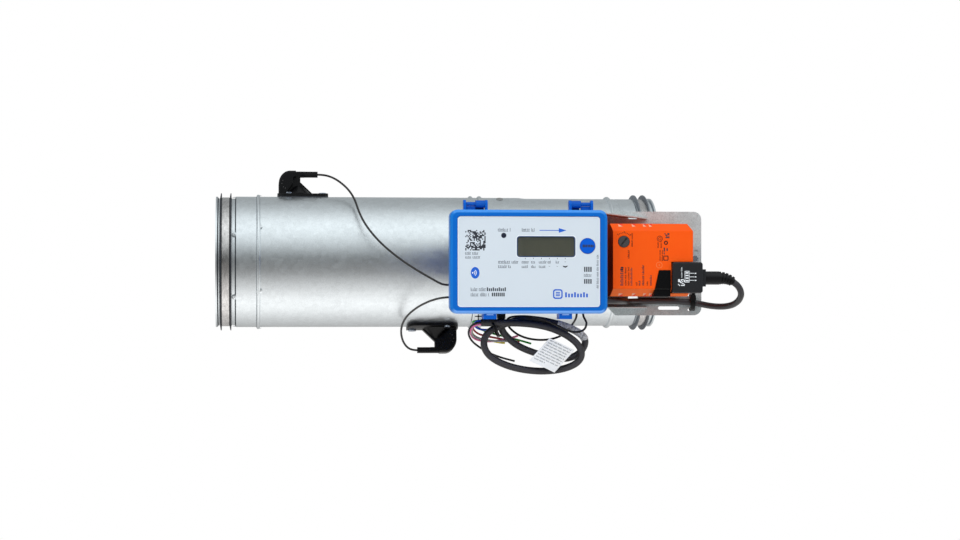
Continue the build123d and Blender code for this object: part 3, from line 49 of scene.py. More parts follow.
def at(x, depth, z):
    """A place in the frame from millimetres along the duct, in front of its axis, and up."""
    return Vector((x * MM, -depth * MM, z * MM))


# Camera
yaw = math.radians(6.045)
rise = math.radians(0.72)
camera_data = bpy.data.cameras.new("camera")
camera_data.sensor_width = 36.0
camera_data.lens = 2228.6 * 36.0 / 960.0
camera_data.clip_start = 0.05
camera_data.clip_end = 50.0
camera = bpy.data.objects.new("camera", camera_data)
scene.collection.objects.link(camera)
forward = Vector((math.sin(yaw) * math.cos(rise), math.cos(yaw) * math.cos(rise), math.sin(rise)))
right = Vector((math.cos(yaw), -math.sin(yaw), 0.0))
up = right.cross(forward)
turn = Matrix((right, up, -forward)).transposed()
camera.matrix_world = Matrix.Translation(Vector((0.0269, -2.170, -0.035))) @ turn.to_4x4()
scene.camera = camera
scene.view_settings.view_transform = "Standard"


# Material building
def srgb(red, green, blue):
    """Linear colour from a picture's 0 to 255 levels."""
    levels = []
    for level in (red, green, blue):
        share = level / 255.0
        levels.append(share / 12.92 if share <= 0.04045 else ((share + 0.055) / 1.055) ** 2.4)
    return tuple(levels)


class Nodes:
    """Small helper that adds and links nodes of one tree."""

    def __init__(self, tree):
        self.tree = tree
        self.tree.nodes.clear()

    def add(self, kind, **settings):
        node = self.tree.nodes.new(kind)
        for key, value in settings.items():
            setattr(node, key, value)
        return node

    def link(self, output, socket):
        self.tree.links.new(output, socket)

    def math(self, operation, first, second=None):
        node = self.add("ShaderNodeMath", operation=operation)
        for place, value in enumerate((first, second)):
            if value is None:
                continue
            if isinstance(value, (int, float)):
                node.inputs[place].default_value = value
            else:
                self.link(value, node.inputs[place])
        return node.outputs[0]

    def ramp(self, value, stops):
        node = self.add("ShaderNodeValToRGB")
        elements = node.color_ramp.elements
        while len(elements) < len(stops):
            elements.new(0.5)
        for element, (place, colour) in zip(elements, stops):
            element.position = place
            if isinstance(colour, (int, float)):
                colour = (colour, colour, colour)
            element.color = (*colour, 1.0)
        self.link(value, node.inputs[0])
        return node.outputs[0]

    def mapped(self, scale=(1.0, 1.0, 1.0)):
        coords = self.add("ShaderNodeTexCoord")
        mapping = self.add("ShaderNodeMapping")
        mapping.inputs["Scale"].default_value = scale
        self.link(coords.outputs["Object"], mapping.inputs["Vector"])
        return mapping.outputs["Vector"]

    def noise(self, vector, size_mm, detail=3.0, rough=0.55):
        node = self.add("ShaderNodeTexNoise")
        node.inputs["Scale"].default_value = 1.0 / (size_mm * MM)
        node.inputs["Detail"].default_value = detail
        node.inputs["Roughness"].default_value = rough
        self.link(vector, node.inputs["Vector"])
        return node.outputs["Fac"]

    def mix(self, factor, first, second):
        node = self.add("ShaderNodeMix", data_type="RGBA")
        self.link(factor, node.inputs["Factor"])
        for name, value in (("A", first), ("B", second)):
            socket = [s for s in node.inputs if s.name == name and s.type == "RGBA"][0]
            if isinstance(value, tuple):
                socket.default_value = (*value, 1.0)
            else:
                self.link(value, socket)
        return [s for s in node.outputs if s.type == "RGBA"][0]

    def spread(self, value, low, high, start=0.3, end=0.7):
        node = self.add("ShaderNodeMapRange")
        node.inputs["From Min"].default_value = start
        node.inputs["From Max"].default_value = end
        node.inputs["To Min"].default_value = low
        node.inputs["To Max"].default_value = high
        self.link(value, node.inputs["Value"])
        return node.outputs["Result"]

    def bump(self, height, strength, distance_mm, normal=None):
        node = self.add("ShaderNodeBump")
        node.inputs["Strength"].default_value = strength
        node.inputs["Distance"].default_value = distance_mm * MM
        self.link(height, node.inputs["Height"])
        if normal is not None:
            self.link(normal, node.inputs["Normal"])
        return node.outputs["Normal"]


def scaled(colour, factor):
    return tuple(min(1.0, level * factor) for level in colour)


def new_material(name):
    material = bpy.data.materials.new(name)
    material.use_nodes = True
    nodes = Nodes(material.node_tree)
    shader = nodes.add("ShaderNodeBsdfPrincipled")
    output = nodes.add("ShaderNodeOutputMaterial")
    nodes.link(shader.outputs[0], output.inputs["Surface"])
    return material, nodes, shader


def plastic(name, colour, roughness=0.42, grain=0.35, grain_mm=0.5, wear=0.08, edge_mm=0.35, patch_mm=14.0, shine=0.5):
    """Moulded plastic: faint colour drift, fine surface grain and softened edges."""
    material, nodes, shader = new_material(name)
    place = nodes.mapped()
    drift = nodes.noise(place, patch_mm)
    fine = nodes.noise(place, grain_mm, 2.0)
    tone = nodes.mix(drift, scaled(colour, 1.0 - wear), scaled(colour, 1.0 + wear))
    shader.inputs["Specular IOR Level"].default_value = shine
    nodes.link(tone, shader.inputs["Base Color"])
    nodes.link(nodes.spread(fine, roughness - 0.06, roughness + 0.06), shader.inputs["Roughness"])
    normal = None
    if edge_mm:
        bevel = nodes.add("ShaderNodeBevel", samples=4)
        bevel.inputs["Radius"].default_value = edge_mm * MM
        normal = bevel.outputs["Normal"]
    nodes.link(nodes.bump(fine, grain, 0.05, normal), shader.inputs["Normal"])
    return material


def metal(name, colour, roughness=0.38, spangle=0.05, spangle_mm=5.0, grain_mm=0.9, grain=0.05, stretch=(1, 1, 1), bump=0.12, dirt=0.0, edge_mm=0.0, metallic=1.0):
    """Zinc coated or bare steel: crystal patches, fine mottling, uneven gloss and faint dents."""
    material, nodes, shader = new_material(name)
    place = nodes.mapped(stretch)
    cells = nodes.add("ShaderNodeTexVoronoi")
    cells.inputs["Scale"].default_value = 1.0 / (spangle_mm * MM)
    bend = nodes.noise(place, spangle_mm * 1.4, 2.0)
    wobble = nodes.add("ShaderNodeVectorMath", operation="MULTIPLY_ADD")
    nodes.link(bend, wobble.inputs[0])
    wobble.inputs[1].default_value = (spangle_mm * MM * 0.8,) * 3
    nodes.link(place, wobble.inputs[2])
    nodes.link(wobble.outputs[0], cells.inputs["Vector"])
    crystal = nodes.add("ShaderNodeSeparateColor")
    nodes.link(cells.outputs["Color"], crystal.inputs[0])
    fine = nodes.noise(place, grain_mm, 4.0, 0.65)
    broad = nodes.noise(place, 45.0, 2.0)
    patches = nodes.mix(crystal.outputs[0], scaled(colour, 1.0 - spangle), scaled(colour, 1.0 + spangle))
    grains = nodes.spread(fine, 1.0 - grain, 1.0 + grain)
    multiply = nodes.add("ShaderNodeVectorMath", operation="SCALE")
    nodes.link(patches, multiply.inputs[0])
    nodes.link(grains, multiply.inputs["Scale"])
    colour_out = multiply.outputs[0]
    if dirt:
        spots = nodes.spread(nodes.noise(place, 9.0, 6.0, 0.7), 0.0, 1.0, 0.58, 0.72)
        colour_out = nodes.mix(nodes.math("MULTIPLY", spots, dirt), colour_out, scaled(colour, 0.35))
    nodes.link(colour_out, shader.inputs["Base Color"])
    shader.inputs["Metallic"].default_value = metallic
    gloss = nodes.math("ADD", nodes.spread(broad, roughness - 0.04, roughness + 0.04), nodes.spread(crystal.outputs[1], -0.04, 0.04, 0.0, 1.0))
    nodes.link(gloss, shader.inputs["Roughness"])
    normal = None
    if edge_mm:
        bevel = nodes.add("ShaderNodeBevel", samples=4)
        bevel.inputs["Radius"].default_value = edge_mm * MM
        normal = bevel.outputs["Normal"]
    nodes.link(nodes.bump(fine, bump, 0.05, normal), shader.inputs["Normal"])
    return material


galvanised = metal("galvanised", srgb(231, 237, 240), 0.36, 0.035, 4.0, 1.0, 0.085, bump=0.16)
plate_steel = metal("plate_steel", srgb(202, 208, 209), 0.5, 0.06, 6.0, 0.9, 0.22, bump=0.3, dirt=0.14, edge_mm=0.3, metallic=0.3)
strap_steel = metal("strap_steel", srgb(215, 213, 212), 0.22, 0.10, 3.0, 1.4, 0.22, stretch=(1, 0.35, 0.35), dirt=0.3)
zinc = metal("zinc", srgb(196, 206, 220), 0.28, 0.08, 2.0, 0.5, 0.12, edge_mm=0.3)
bracket_zinc = metal("bracket_zinc", srgb(206, 212, 216), 0.36, 0.08, 2.0, 0.5, 0.12, edge_mm=0.3, metallic=0.5)
dull_steel = metal("dull_steel", srgb(180, 180, 178), 0.42, 0.06, 3.0, 0.6, 0.1, edge_mm=0.2)
# painted shade for the foot of the bead
bead_painted_shade = metal("bead_painted_shade", srgb(92, 100, 108), 0.5, 0.05, 3.0, 0.8, 0.1, metallic=0.1)
lip_rubber = plastic("lip_rubber", srgb(30, 34, 42), 0.5, 0.6, 0.8, 0.2, 0.2)
outlet_rubber = plastic("outlet_rubber", srgb(112, 118, 126), 0.42, 0.5, 0.8, 0.15, 0.3)
blade_foam = plastic("blade_foam", srgb(52, 52, 54), 0.85, 0.9, 1.2, 0.2, 0.2)
black_shell = plastic("black_shell", srgb(9, 9, 11), 0.3, 0.4, 0.45, 0.2, 0.7, shine=0.22)
black_plug = plastic("black_plug", srgb(34, 35, 38), 0.36, 0.5, 0.5, 0.12, 1.0, shine=0.4)
black_boot = plastic("black_boot", srgb(16, 15, 17), 0.4, 0.5, 0.5, 0.15, 0.3, shine=0.3)
blue_case = plastic("blue_case", srgb(0, 84, 184), 0.36, 0.2, 0.5, 0.05, 0.5, shine=0.25)
# painted highlight for the tops of the latches
latch_painted_highlight = plastic("latch_painted_highlight", srgb(150, 192, 248), 0.4, 0.2, 0.5, 0.05, 0.0)
blue_key = plastic("blue_key", srgb(0, 90, 208), 0.35, 0.2, 0.4, 0.05, 0.3, shine=0.2)

panel_film = plastic("panel_film", srgb(214, 223, 232), 0.5, 0.1, 0.4, 0.015, 0.0, 40.0)
print_blue = plastic("print_blue", srgb(20, 96, 208), 0.5, 0.1, 0.3, 0.03, 0.0)
print_dark = plastic("print_dark", srgb(48, 52, 62), 0.5, 0.1, 0.3, 0.05, 0.0)
print_grey = plastic("print_grey", srgb(112, 120, 132), 0.5, 0.1, 0.3, 0.05, 0.0)
print_white = plastic("print_white", srgb(240, 244, 248), 0.5, 0.1, 0.3, 0.02, 0.0)
print_brown = plastic("print_brown", srgb(58, 18, 8), 0.5, 0.2, 0.3, 0.1, 0.0)
# paler orange, a painted highlight for the embossed ring on the actuator
orange_ring_highlight = plastic("orange_ring_highlight", srgb(255, 128, 66), 0.5, 0.3, 0.5, 0.05, 0.0)
# painted highlight and painted shadow colours for the notches on the actuator's bevels
orange_notch_highlight = plastic("orange_notch_highlight", srgb(255, 176, 140), 0.5, 0.3, 0.5, 0.05, 0.0)
orange_notch_shadow = plastic("orange_notch_shadow", srgb(244, 44, 10), 0.5, 0.3, 0.5, 0.05, 0.0)
knob_grey = plastic("knob_grey", srgb(70, 68, 69), 0.45, 0.4, 0.5, 0.08, 0.3)
board_green = plastic("board_green", srgb(24, 92, 58), 0.4, 0.3, 1.0, 0.15, 0.1)
terminal_green = plastic("terminal_green", srgb(52, 150, 78), 0.45, 0.3, 0.5, 0.06, 0.3)
bush_nylon = plastic("bush_nylon", srgb(222, 220, 210), 0.45, 0.2, 0.5, 0.04, 0.3)
lens_dark = plastic("lens_dark", srgb(40, 44, 60), 0.12, 0.05, 0.4, 0.05, 0.3)
display_face = plastic("display_face", srgb(118, 118, 104), 0.35, 0.1, 0.4, 0.04, 0.0)
thin_sheath = plastic("thin_sheath", srgb(30, 27, 27), 0.4, 0.3, 0.7, 0.12, 0.0)
border_ink = plastic("border_ink", srgb(60, 84, 122), 0.5, 0.1, 0.3, 0.05, 0.0)
tag_print = plastic("tag_print", srgb(132, 136, 142), 0.5, 0.1, 0.3, 0.05, 0.0)
tag_paper = plastic("tag_paper", srgb(250, 250, 250), 0.7, 0.3, 0.6, 0.02, 0.0)


def lid_with_painted_rim_highlight():
    """Blue lid plastic: a deep flat band round the panel and a rounded outer rim with painted highlights, paler on the
    top end than on the sides and palest on the bottom end.
    """
    material, nodes, shader = new_material("lid_with_painted_rim_highlight")
    fine = nodes.noise(nodes.mapped(), 0.5, 2.0)
    coords = nodes.add("ShaderNodeTexCoord")
    parts = nodes.add("ShaderNodeSeparateXYZ")
    nodes.link(coords.outputs["Generated"], parts.inputs[0])
    across = nodes.math("MULTIPLY", nodes.math("SUBTRACT", parts.outputs["X"], 0.5), lid_width)
    height = nodes.math("SUBTRACT", nodes.math("MULTIPLY", parts.outputs["Z"], lid_bounds_height), lid_centre_rise)
    past_x = nodes.math("SUBTRACT", nodes.math("ABSOLUTE", across), lid_width / 2 - lid_corner)
    past_z = nodes.math("SUBTRACT", nodes.math("ABSOLUTE", height), lid_height / 2 - lid_corner)
    out_x, out_z = nodes.math("MAXIMUM", past_x, 0.0), nodes.math("MAXIMUM", past_z, 0.0)
    reach = nodes.math("SQRT", nodes.math("ADD", nodes.math("MULTIPLY", out_x, out_x), nodes.math("MULTIPLY", out_z, out_z)))
    # painted highlight on the rim: the top and bottom ends are paler than the sides, the bottom end palest
    end_highlight_share = nodes.spread(nodes.math("SUBTRACT", past_z, past_x), 0.0, 1.0, -2.0, 2.0)
    lower_highlight_share = nodes.spread(height, 1.0, 0.0, -2.0, 2.0)
    ends = nodes.mix(lower_highlight_share, srgb(70, 146, 230), srgb(118, 172, 246))
    pale = nodes.mix(end_highlight_share, srgb(16, 116, 206), ends)
    tone = nodes.mix(nodes.spread(reach, 0.0, 1.0, lid_corner - rim_width, lid_corner - rim_width + 0.9), srgb(0, 101, 198), pale)
    tone = nodes.mix(nodes.spread(reach, 0.0, 1.0, lid_corner + 0.1, lid_corner + 0.3), tone, srgb(0, 92, 196))
    nodes.link(tone, shader.inputs["Base Color"])
    shader.inputs["Specular IOR Level"].default_value = 0.2
    nodes.link(nodes.spread(fine, 0.3, 0.4), shader.inputs["Roughness"])
    nodes.link(nodes.bump(fine, 0.2, 0.05), shader.inputs["Normal"])
    return material


def orange_with_painted_light():
    """Orange plastic with painted light: paler where it faces down, and darker with painted shade where it faces left.
    """
    material, nodes, shader = new_material("orange_case_painted_light")
    place = nodes.mapped()
    fine = nodes.noise(place, 0.7, 2.0)
    coords = nodes.add("ShaderNodeTexCoord")
    facing = nodes.add("ShaderNodeSeparateXYZ")
    nodes.link(coords.outputs["Normal"], facing.inputs[0])
    base = nodes.mix(nodes.noise(place, 14.0), srgb(252, 84, 0), srgb(255, 94, 4))
    # painted light on faces that turn downwards, painted shade on faces that turn to the left
    downward_painted_light = nodes.spread(facing.outputs["Z"], 1.0, 0.0, -0.7, -0.3)
    left = nodes.spread(facing.outputs["X"], 1.0, 0.0, -0.9, -0.3)
    dark = nodes.mix(left, base, srgb(150, 40, 6))
    nodes.link(nodes.mix(downward_painted_light, dark, srgb(255, 112, 36)), shader.inputs["Base Color"])
    shader.inputs["Specular IOR Level"].default_value = 0.22
    nodes.link(nodes.spread(fine, 0.44, 0.56), shader.inputs["Roughness"])
    bevel = nodes.add("ShaderNodeBevel", samples=4)
    bevel.inputs["Radius"].default_value = 0.6 * MM
    nodes.link(nodes.bump(fine, 0.6, 0.05, bevel.outputs["Normal"]), shader.inputs["Normal"])
    return material


def sheath_with_painted_highlight():
    """Black sheath with a painted highlight: paler on the side that faces the front."""
    material, nodes, shader = new_material("sheath")
    place = nodes.mapped()
    fine = nodes.noise(place, 0.7, 2.0)
    coords = nodes.add("ShaderNodeTexCoord")
    facing = nodes.add("ShaderNodeSeparateXYZ")
    nodes.link(coords.outputs["Normal"], facing.inputs[0])
    # painted highlight: faces that turn to the front are paler
    front = nodes.spread(facing.outputs["Y"], 1.0, 0.0, -1.0, -0.55)
    base = nodes.mix(nodes.noise(place, 10.0), srgb(24, 22, 24), srgb(34, 32, 34))
    nodes.link(nodes.mix(front, base, srgb(60, 58, 63)), shader.inputs["Base Color"])
    nodes.link(nodes.spread(fine, 0.3, 0.4), shader.inputs["Roughness"])
    nodes.link(nodes.bump(fine, 0.35, 0.05), shader.inputs["Normal"])
    return material


def printed_sleeve():
    """Pale label film with short dark marks in rows."""
    material, nodes, shader = new_material("printed_sleeve")
    marks = nodes.noise(nodes.mapped((1.0, 1.0, 0.42)), 1.5, 3.0, 0.7)
    rows = nodes.noise(nodes.mapped((0.12, 0.4, 1.0)), 2.2, 1.0)
    ink = nodes.math("MULTIPLY", nodes.spread(marks, 0.0, 1.0, 0.50, 0.56), nodes.spread(rows, 0.0, 1.0, 0.5, 0.56))
    tone = nodes.mix(nodes.math("MULTIPLY", ink, 0.6), srgb(214, 213, 216), srgb(74, 72, 74))
    nodes.link(tone, shader.inputs["Base Color"])
    nodes.link(nodes.spread(marks, 0.35, 0.5), shader.inputs["Roughness"])
    return material


lid_width, lid_height, lid_corner = 144.2, 94.4, 7.3
lid_bounds_height, lid_centre_rise = 108.25, 52.1
rim_width = 3.1
lid_blue = lid_with_painted_rim_highlight()
orange_case_painted_light = orange_with_painted_light()
sheath = sheath_with_painted_highlight()
sleeve_film = printed_sleeve()


def clear_glass(name):
    material, nodes, shader = new_material(name)
    place = nodes.mapped()
    smear = nodes.noise(place, 18.0, 2.0)
    nodes.link(nodes.spread(smear, 0.04, 0.10), shader.inputs["Roughness"])
    nodes.link(nodes.mix(smear, (0.86, 0.88, 0.86), (0.92, 0.93, 0.92)), shader.inputs["Base Color"])
    shader.inputs["Transmission Weight"].default_value = 1.0
    shader.inputs["IOR"].default_value = 1.35
    return material


window_clear = clear_glass("window_clear")

node_materials = {
    galvanised: ("measuring_tube", "damper_tube", "blade_upper_disc", "blade_lower_disc"),
    plate_steel: ("mounting_plate", "controller_shelf", "plate_saddles"),
    strap_steel: ("inlet_gasket_strap", "outlet_gasket_strap"),
    zinc: ("tab_screw", "sensor_screws", "controller_screws", "clamp_bolt"),
    dull_steel: ("blade_shaft", "shaft_clamp", "blind_rivets", "blade_rivets"),
    lip_rubber: ("inlet_gasket", "top_sensor_seal", "bottom_sensor_seal", "lid_gasket"),
    outlet_rubber: ("outlet_gasket",),
    blade_foam: ("blade_seal",),
    black_shell: ("top_sensor_housing", "bottom_sensor_housing", "top_transducer", "bottom_transducer",
                  "actuator_base", "release_button"),
    black_plug: ("plug_housing",),
    knob_grey: ("direction_knob",),
    bracket_zinc: ("anti_rotation_tab",),
    black_boot: ("top_sensor_boot", "bottom_sensor_boot", "plug_boot", "cable_glands", "cable_ties"),
    blue_case: ("controller_base", "hinge_pins"),
    lid_blue: ("lid_frame",),
    blue_key: ("mode_button",),
    orange_case_painted_light: ("actuator_housing",),
    panel_film: ("lid_panel",),
    window_clear: ("display_window",),
    display_face: ("display_module",),
    lens_dark: ("status_lens",),
    board_green: ("circuit_board",),
    terminal_green: ("terminal_blocks",),
    bush_nylon: ("front_shaft_bush", "rear_shaft_bush"),
    thin_sheath: ("top_sensor_cable", "bottom_sensor_cable", "signal_cable"),
    sheath: ("actuator_cable", "supply_lead", "supply_tail", "supply_coil"),
    print_dark: ("lead_wires",),
    tag_paper: ("cable_tag",),
}
for material, names in node_materials.items():
    for name in names:
        mesh = frame["nodes"][name].data
        mesh.materials.clear()
        mesh.materials.append(material)


# Cords
def cord_curve(name, points, diameter, material, nodes=()):
    """Round cord on a smooth spline through its route's control points, in millimetres."""
    data = bpy.data.curves.new(name, "CURVE")
    data.dimensions = "3D"
    spline = data.splines.new("NURBS")
    spline.points.add(len(points) - 1)
    for point, place in zip(spline.points, points):
        point.co = (*at(*place), 1.0)
    spline.order_u = 3
    spline.use_endpoint_u = True
    spline.resolution_u = 8
    data.bevel_depth = diameter / 2 * MM
    data.bevel_resolution = 5
    data.use_fill_caps = True
    data.materials.append(material)
    obj = bpy.data.objects.new(name, data)
    scene.collection.objects.link(obj)
    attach(obj, "duct_unit")
    if nodes:
        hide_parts(*nodes)
    return obj


top_sensor_route = [
    (98.32, -13.56, 85.58), (104.32, -13.56, 85.58), (112.32, -7.0, 82.9), (119.5, 6.5, 77.6),
    (126.6, 23.0, 69.9), (131.9, 38.5, 60.2), (135.4, 55.0, 46.2), (141.2, 70.0, 33.0),
    (152.3, 84.0, 18.3), (166.3, 98.0, 4.9), (183.3, 111.5, -7.7), (198.6, 122.5, -17.0),
    (206.6, 126.8, -21.8), (211.58, 127.0, -23.0), (215.98, 127.0, -23.0),
]
bottom_sensor_route = [
    (194.08, 13.56, -85.58), (187.58, 13.56, -85.58), (180.6, 20.4, -79.4), (176.8, 32.0, -70.0),
    (176.6, 46.5, -60.6), (180.4, 63.0, -51.6), (188.6, 82.0, -43.6), (197.6, 102.0, -38.2),
    (205.2, 118.5, -35.4), (211.98, 127.0, -34.3), (215.98, 127.0, -34.3),
]
actuator_route = [
    (480.09, 131.5, -20.38), (484.31, 131.5, -23.02), (488.9, 127.5, -30.6), (488.4, 118.5, -37.4),
    (484.2, 108.4, -41.8), (476.6, 99.0, -43.4), (467.0, 89.2, -42.6), (457.8, 81.4, -40.4),
    (447.0, 80.4, -38.8), (432.0, 80.4, -38.0), (416.0, 80.6, -37.7), (401.5, 80.8, -38.2),
    (386.2, 92.5, -38.4), (380.4, 110.8, -38.0), (365.6, 124.0, -37.4), (353.52, 124.0, -37.2),
]
signal_route = [
    (332.3, 134.0, -47.32), (332.3, 134.0, -51.72), (331.8, 127.6, -55.4), (330.6, 120.6, -58.8),
    (325.6, 117.8, -66.8), (316.4, 118.0, -72.0), (304.6, 118.2, -74.2), (291.6, 118.0, -73.4),
    (281.0, 118.2, -70.0), (273.6, 118.0, -64.8), (268.6, 117.6, -58.4), (270.0, 119.6, -53.0),
    (279.0, 125.2, -51.6), (291.0, 132.4, -52.0), (302.6, 138.4, -54.8), (312.6, 139.0, -60.0),
    (322.2, 139.0, -64.9), (331.6, 139.0, -67.0), (339.0, 138.6, -64.4), (341.2, 137.2, -58.6),
    (340.2, 135.6, -55.4), (338.1, 134.0, -51.52), (338.1, 134.0, -47.32),
]
supply_route = [
    (263.0, 125.5, -54.42), (263.0, 125.5, -58.8), (264.1, 123.0, -65.1), (268.3, 121.0, -70.3),
    (275.7, 120.5, -77.1), (284.1, 120.5, -81.8), (293.5, 120.5, -85.4), (310.2, 121.0, -90.7),
    (324.8, 122.0, -91.7), (336.2, 123.0, -87.1), (341.8, 124.0, -78.7), (341.2, 125.0, -71.4),
    (332.6, 126.0, -65.1), (317.8, 127.0, -59.4), (299.9, 127.5, -55.2), (284.2, 127.5, -54.2),
    (270.7, 127.0, -57.3), (260.3, 127.0, -61.4), (250.9, 127.0, -66.0), (246.8, 127.0, -73.3),
    (247.0, 127.0, -81.5), (253.0, 126.5, -89.8), (266.7, 126.0, -97.1), (284.4, 126.0, -101.6),
    (303.2, 126.0, -103.0), (320.9, 127.0, -100.9), (333.2, 129.0, -95.7), (338.1, 131.0, -87.9),
    (334.8, 132.5, -78.5), (324.2, 133.0, -69.7), (309.6, 133.0, -62.9), (293.9, 133.5, -59.3),
    (276.2, 133.6, -57.9), (262.0, 133.6, -57.6), (243.4, 133.6, -57.6),
]
wire_routes = {
    "black": ((26, 26, 28), 75.1, [
        (243.38, 135.6, -57.6), (238.8, 135.6, -57.6), (233.8, 131.6, -61.0), (232.2, 125.0, -67.6),
        (236.0, 120.0, -74.8), (243.6, 118.6, -80.6), (252.0, 118.2, -85.6), (261.0, 118.5, -89.2),
        (269.2, 118.2, -91.7), (276.5, 118.4, -93.5)]),
    "pink": ((255, 128, 176), 69.5, [
        (243.38, 134.6, -59.3), (238.8, 134.6, -59.3), (234.6, 130.6, -62.6), (234.8, 123.4, -68.2),
        (238.4, 118.2, -72.6), (245.6, 116.6, -74.8), (255.5, 116.4, -75.4), (265.2, 116.6, -73.8),
        (274.6, 116.4, -71.7), (279.8, 116.6, -70.1)]),
    "yellow": ((255, 232, 40), 53.9, [
        (243.38, 132.6, -59.3), (238.8, 132.6, -59.3), (235.6, 128.4, -62.6), (236.2, 121.6, -67.6),
        (240.6, 116.6, -71.2), (247.4, 114.8, -73.6), (256.2, 114.6, -75.0), (263.2, 114.8, -76.4),
        (267.7, 114.6, -76.8)]),
    "dark_red": ((208, 24, 44), 65.9, [
        (243.38, 131.6, -57.6), (238.8, 131.6, -57.6), (236.2, 127.2, -60.6), (237.8, 120.4, -64.6),
        (242.6, 114.8, -68.2), (249.2, 113.0, -70.2), (257.0, 112.8, -71.6), (265.4, 113.0, -73.2),
        (273.8, 112.8, -75.0), (281.6, 113.0, -75.9)]),
    "green": ((10, 180, 50), 78.6, [
        (243.38, 132.6, -55.9), (238.8, 132.6, -55.9), (236.0, 127.6, -57.0), (238.2, 119.4, -60.0),
        (245.4, 112.4, -64.2), (252.2, 111.2, -66.6), (260.4, 111.4, -69.0), (270.4, 111.2, -71.4),
        (282.3, 111.4, -74.4), (292.8, 111.2, -77.5)]),
    "blue": ((20, 84, 230), 38.5, [
        (243.38, 133.6, -56.1), (239.6, 133.6, -56.1), (237.8, 129.6, -58.6), (239.4, 124.0, -61.6),
        (242.6, 120.0, -63.6), (248.2, 118.6, -64.6), (255.4, 118.4, -63.9), (261.0, 118.4, -62.4)]),
    "grey": ((172, 170, 170), 59.3, [
        (243.38, 133.6, -59.1), (239.0, 133.6, -59.1), (235.4, 130.0, -63.0), (235.6, 123.6, -68.4),
        (240.2, 119.6, -71.6), (247.0, 119.0, -73.4), (256.6, 119.2, -74.8), (266.0, 119.0, -75.2),
        (274.4, 119.2, -74.6)]),
}
cord_curve("sensor_cord_top", top_sensor_route, 2.0, thin_sheath, ["top_sensor_cable"])
cord_curve("sensor_cord_bottom", bottom_sensor_route, 2.0, thin_sheath, ["bottom_sensor_cable"])
cord_curve("actuator_cord", actuator_route, 6.0, sheath, ["actuator_cable"])
cord_curve("signal_cord", signal_route, 2.0, thin_sheath, ["signal_cable"])
supply_cord = cord_curve("supply_cord", supply_route, 6.5, sheath, ["supply_lead", "supply_coil", "supply_tail"])
for colour, (levels, length, route) in wire_routes.items():
    insulation = plastic(f"wire_{colour}", srgb(*levels), 0.35, 0.15, 0.5, 0.05, 0.0)
    cord_curve(f"wire_{colour}", route, 1.9, insulation, ["lead_wires"])


# Flat pieces on a face that looks towards the viewer
def prism(name, outlines, back, front, material, body):
    """One mesh of thin prisms between two depths, from closed outlines in x and z."""
    made = bmesh.new()
    for outline in outlines:
        area = sum(a[0] * b[1] - b[0] * a[1] for a, b in zip(outline, outline[1:] + outline[:1]))
        points = outline if area > 0 else outline[::-1]
        near = [made.verts.new(at(x, front, z)) for x, z in points]
        far = [made.verts.new(at(x, back, z)) for x, z in points]
        made.faces.new(near)
        made.faces.new(far[::-1])
        count = len(points)
        for index in range(count):
            following = (index + 1) % count
            made.faces.new((near[following], near[index], far[index], far[following]))
    bmesh.ops.recalc_face_normals(made, faces=made.faces)
    mesh = bpy.data.meshes.new(name)
    made.to_mesh(mesh)
    made.free()
    mesh.materials.append(material)
    obj = bpy.data.objects.new(name, mesh)
    scene.collection.objects.link(obj)
    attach(obj, body)
    return obj


def box2(left, right, low, high):
    return [(left, low), (right, low), (right, high), (left, high)]


def disc(x, z, radius, sides=28, start=0.0, end=360.0):
    steps = [start + (end - start) * step / sides for step in range(sides)]
    return [(x + radius * math.cos(math.radians(a)), z + radius * math.sin(math.radians(a))) for a in steps]


def hoop(x, z, inner, outer, start=0.0, end=360.0, sides=24):
    """A flat ring or arc as short quads."""
    quads = []
    for step in range(sides):
        a = math.radians(start + (end - start) * step / sides)
        b = math.radians(start + (end - start) * (step + 1) / sides)
        quads.append([
            (x + inner * math.cos(a), z + inner * math.sin(a)), (x + outer * math.cos(a), z + outer * math.sin(a)),
            (x + outer * math.cos(b), z + outer * math.sin(b)), (x + inner * math.cos(b), z + inner * math.sin(b)),
        ])
    return quads


def frame_quads(left, right, low, high, width):
    return [box2(left, right, high - width, high), box2(left, right, low, low + width),
            box2(left, left + width, low + width, high - width), box2(right - width, right, low + width, high - width)]


def rounded(left, right, low, high, radius, steps=6):
    """Outline of a rectangle with rounded corners, anticlockwise."""
    points = []
    for x, z, start in ((right - radius, high - radius, 0), (left + radius, high - radius, 90),
                        (left + radius, low + radius, 180), (right - radius, low + radius, 270)):
        for step in range(steps + 1):
            a = math.radians(start + 90.0 * step / steps)
            points.append((x + radius * math.cos(a), z + radius * math.sin(a)))
    return points


def between(outer, inner):
    """Quads that fill the band between two outlines with the same count of points."""
    count = len(outer)
    return [[outer[k], outer[(k + 1) % count], inner[(k + 1) % count], inner[k]] for k in range(count)]


def dashes(length, height, seed, weight=0.2):
    """Plain upright strokes in uneven groups over a thin foot line, from 0 to length."""
    shapes = []
    stem = height * weight
    place, state, group = 0.0, seed * 37 % 997 + 11, 0
    start = 0.0
    while place + stem < length:
        state = (state * 73 + 41) % 997
        if group > 4 + state % 4:
            shapes.append(box2(start, place - stem, 0.0, stem * 0.7))
            place += height * 0.36
            start, group = place, 0
            continue
        tall = height * (1.0, 0.72, 0.72, 0.8)[state % 4]
        shapes.append(box2(place, place + stem, 0.0, tall))
        if state % 2:
            shapes.append(box2(place, place + stem * 2.1, height * 0.72 - stem * 0.8, height * 0.72))
        place += stem * (2.0 + 0.35 * (state % 4))
        group += 1
    if place - stem > start:
        shapes.append(box2(start, place - stem, 0.0, stem * 0.7))
    return shapes


def bars(left, low, count, width, pitch, heights):
    """Plain upright bars, whose heights repeat."""
    return [box2(left + pitch * k, left + pitch * k + width, low, low + heights[k % len(heights)]) for k in range(count)]


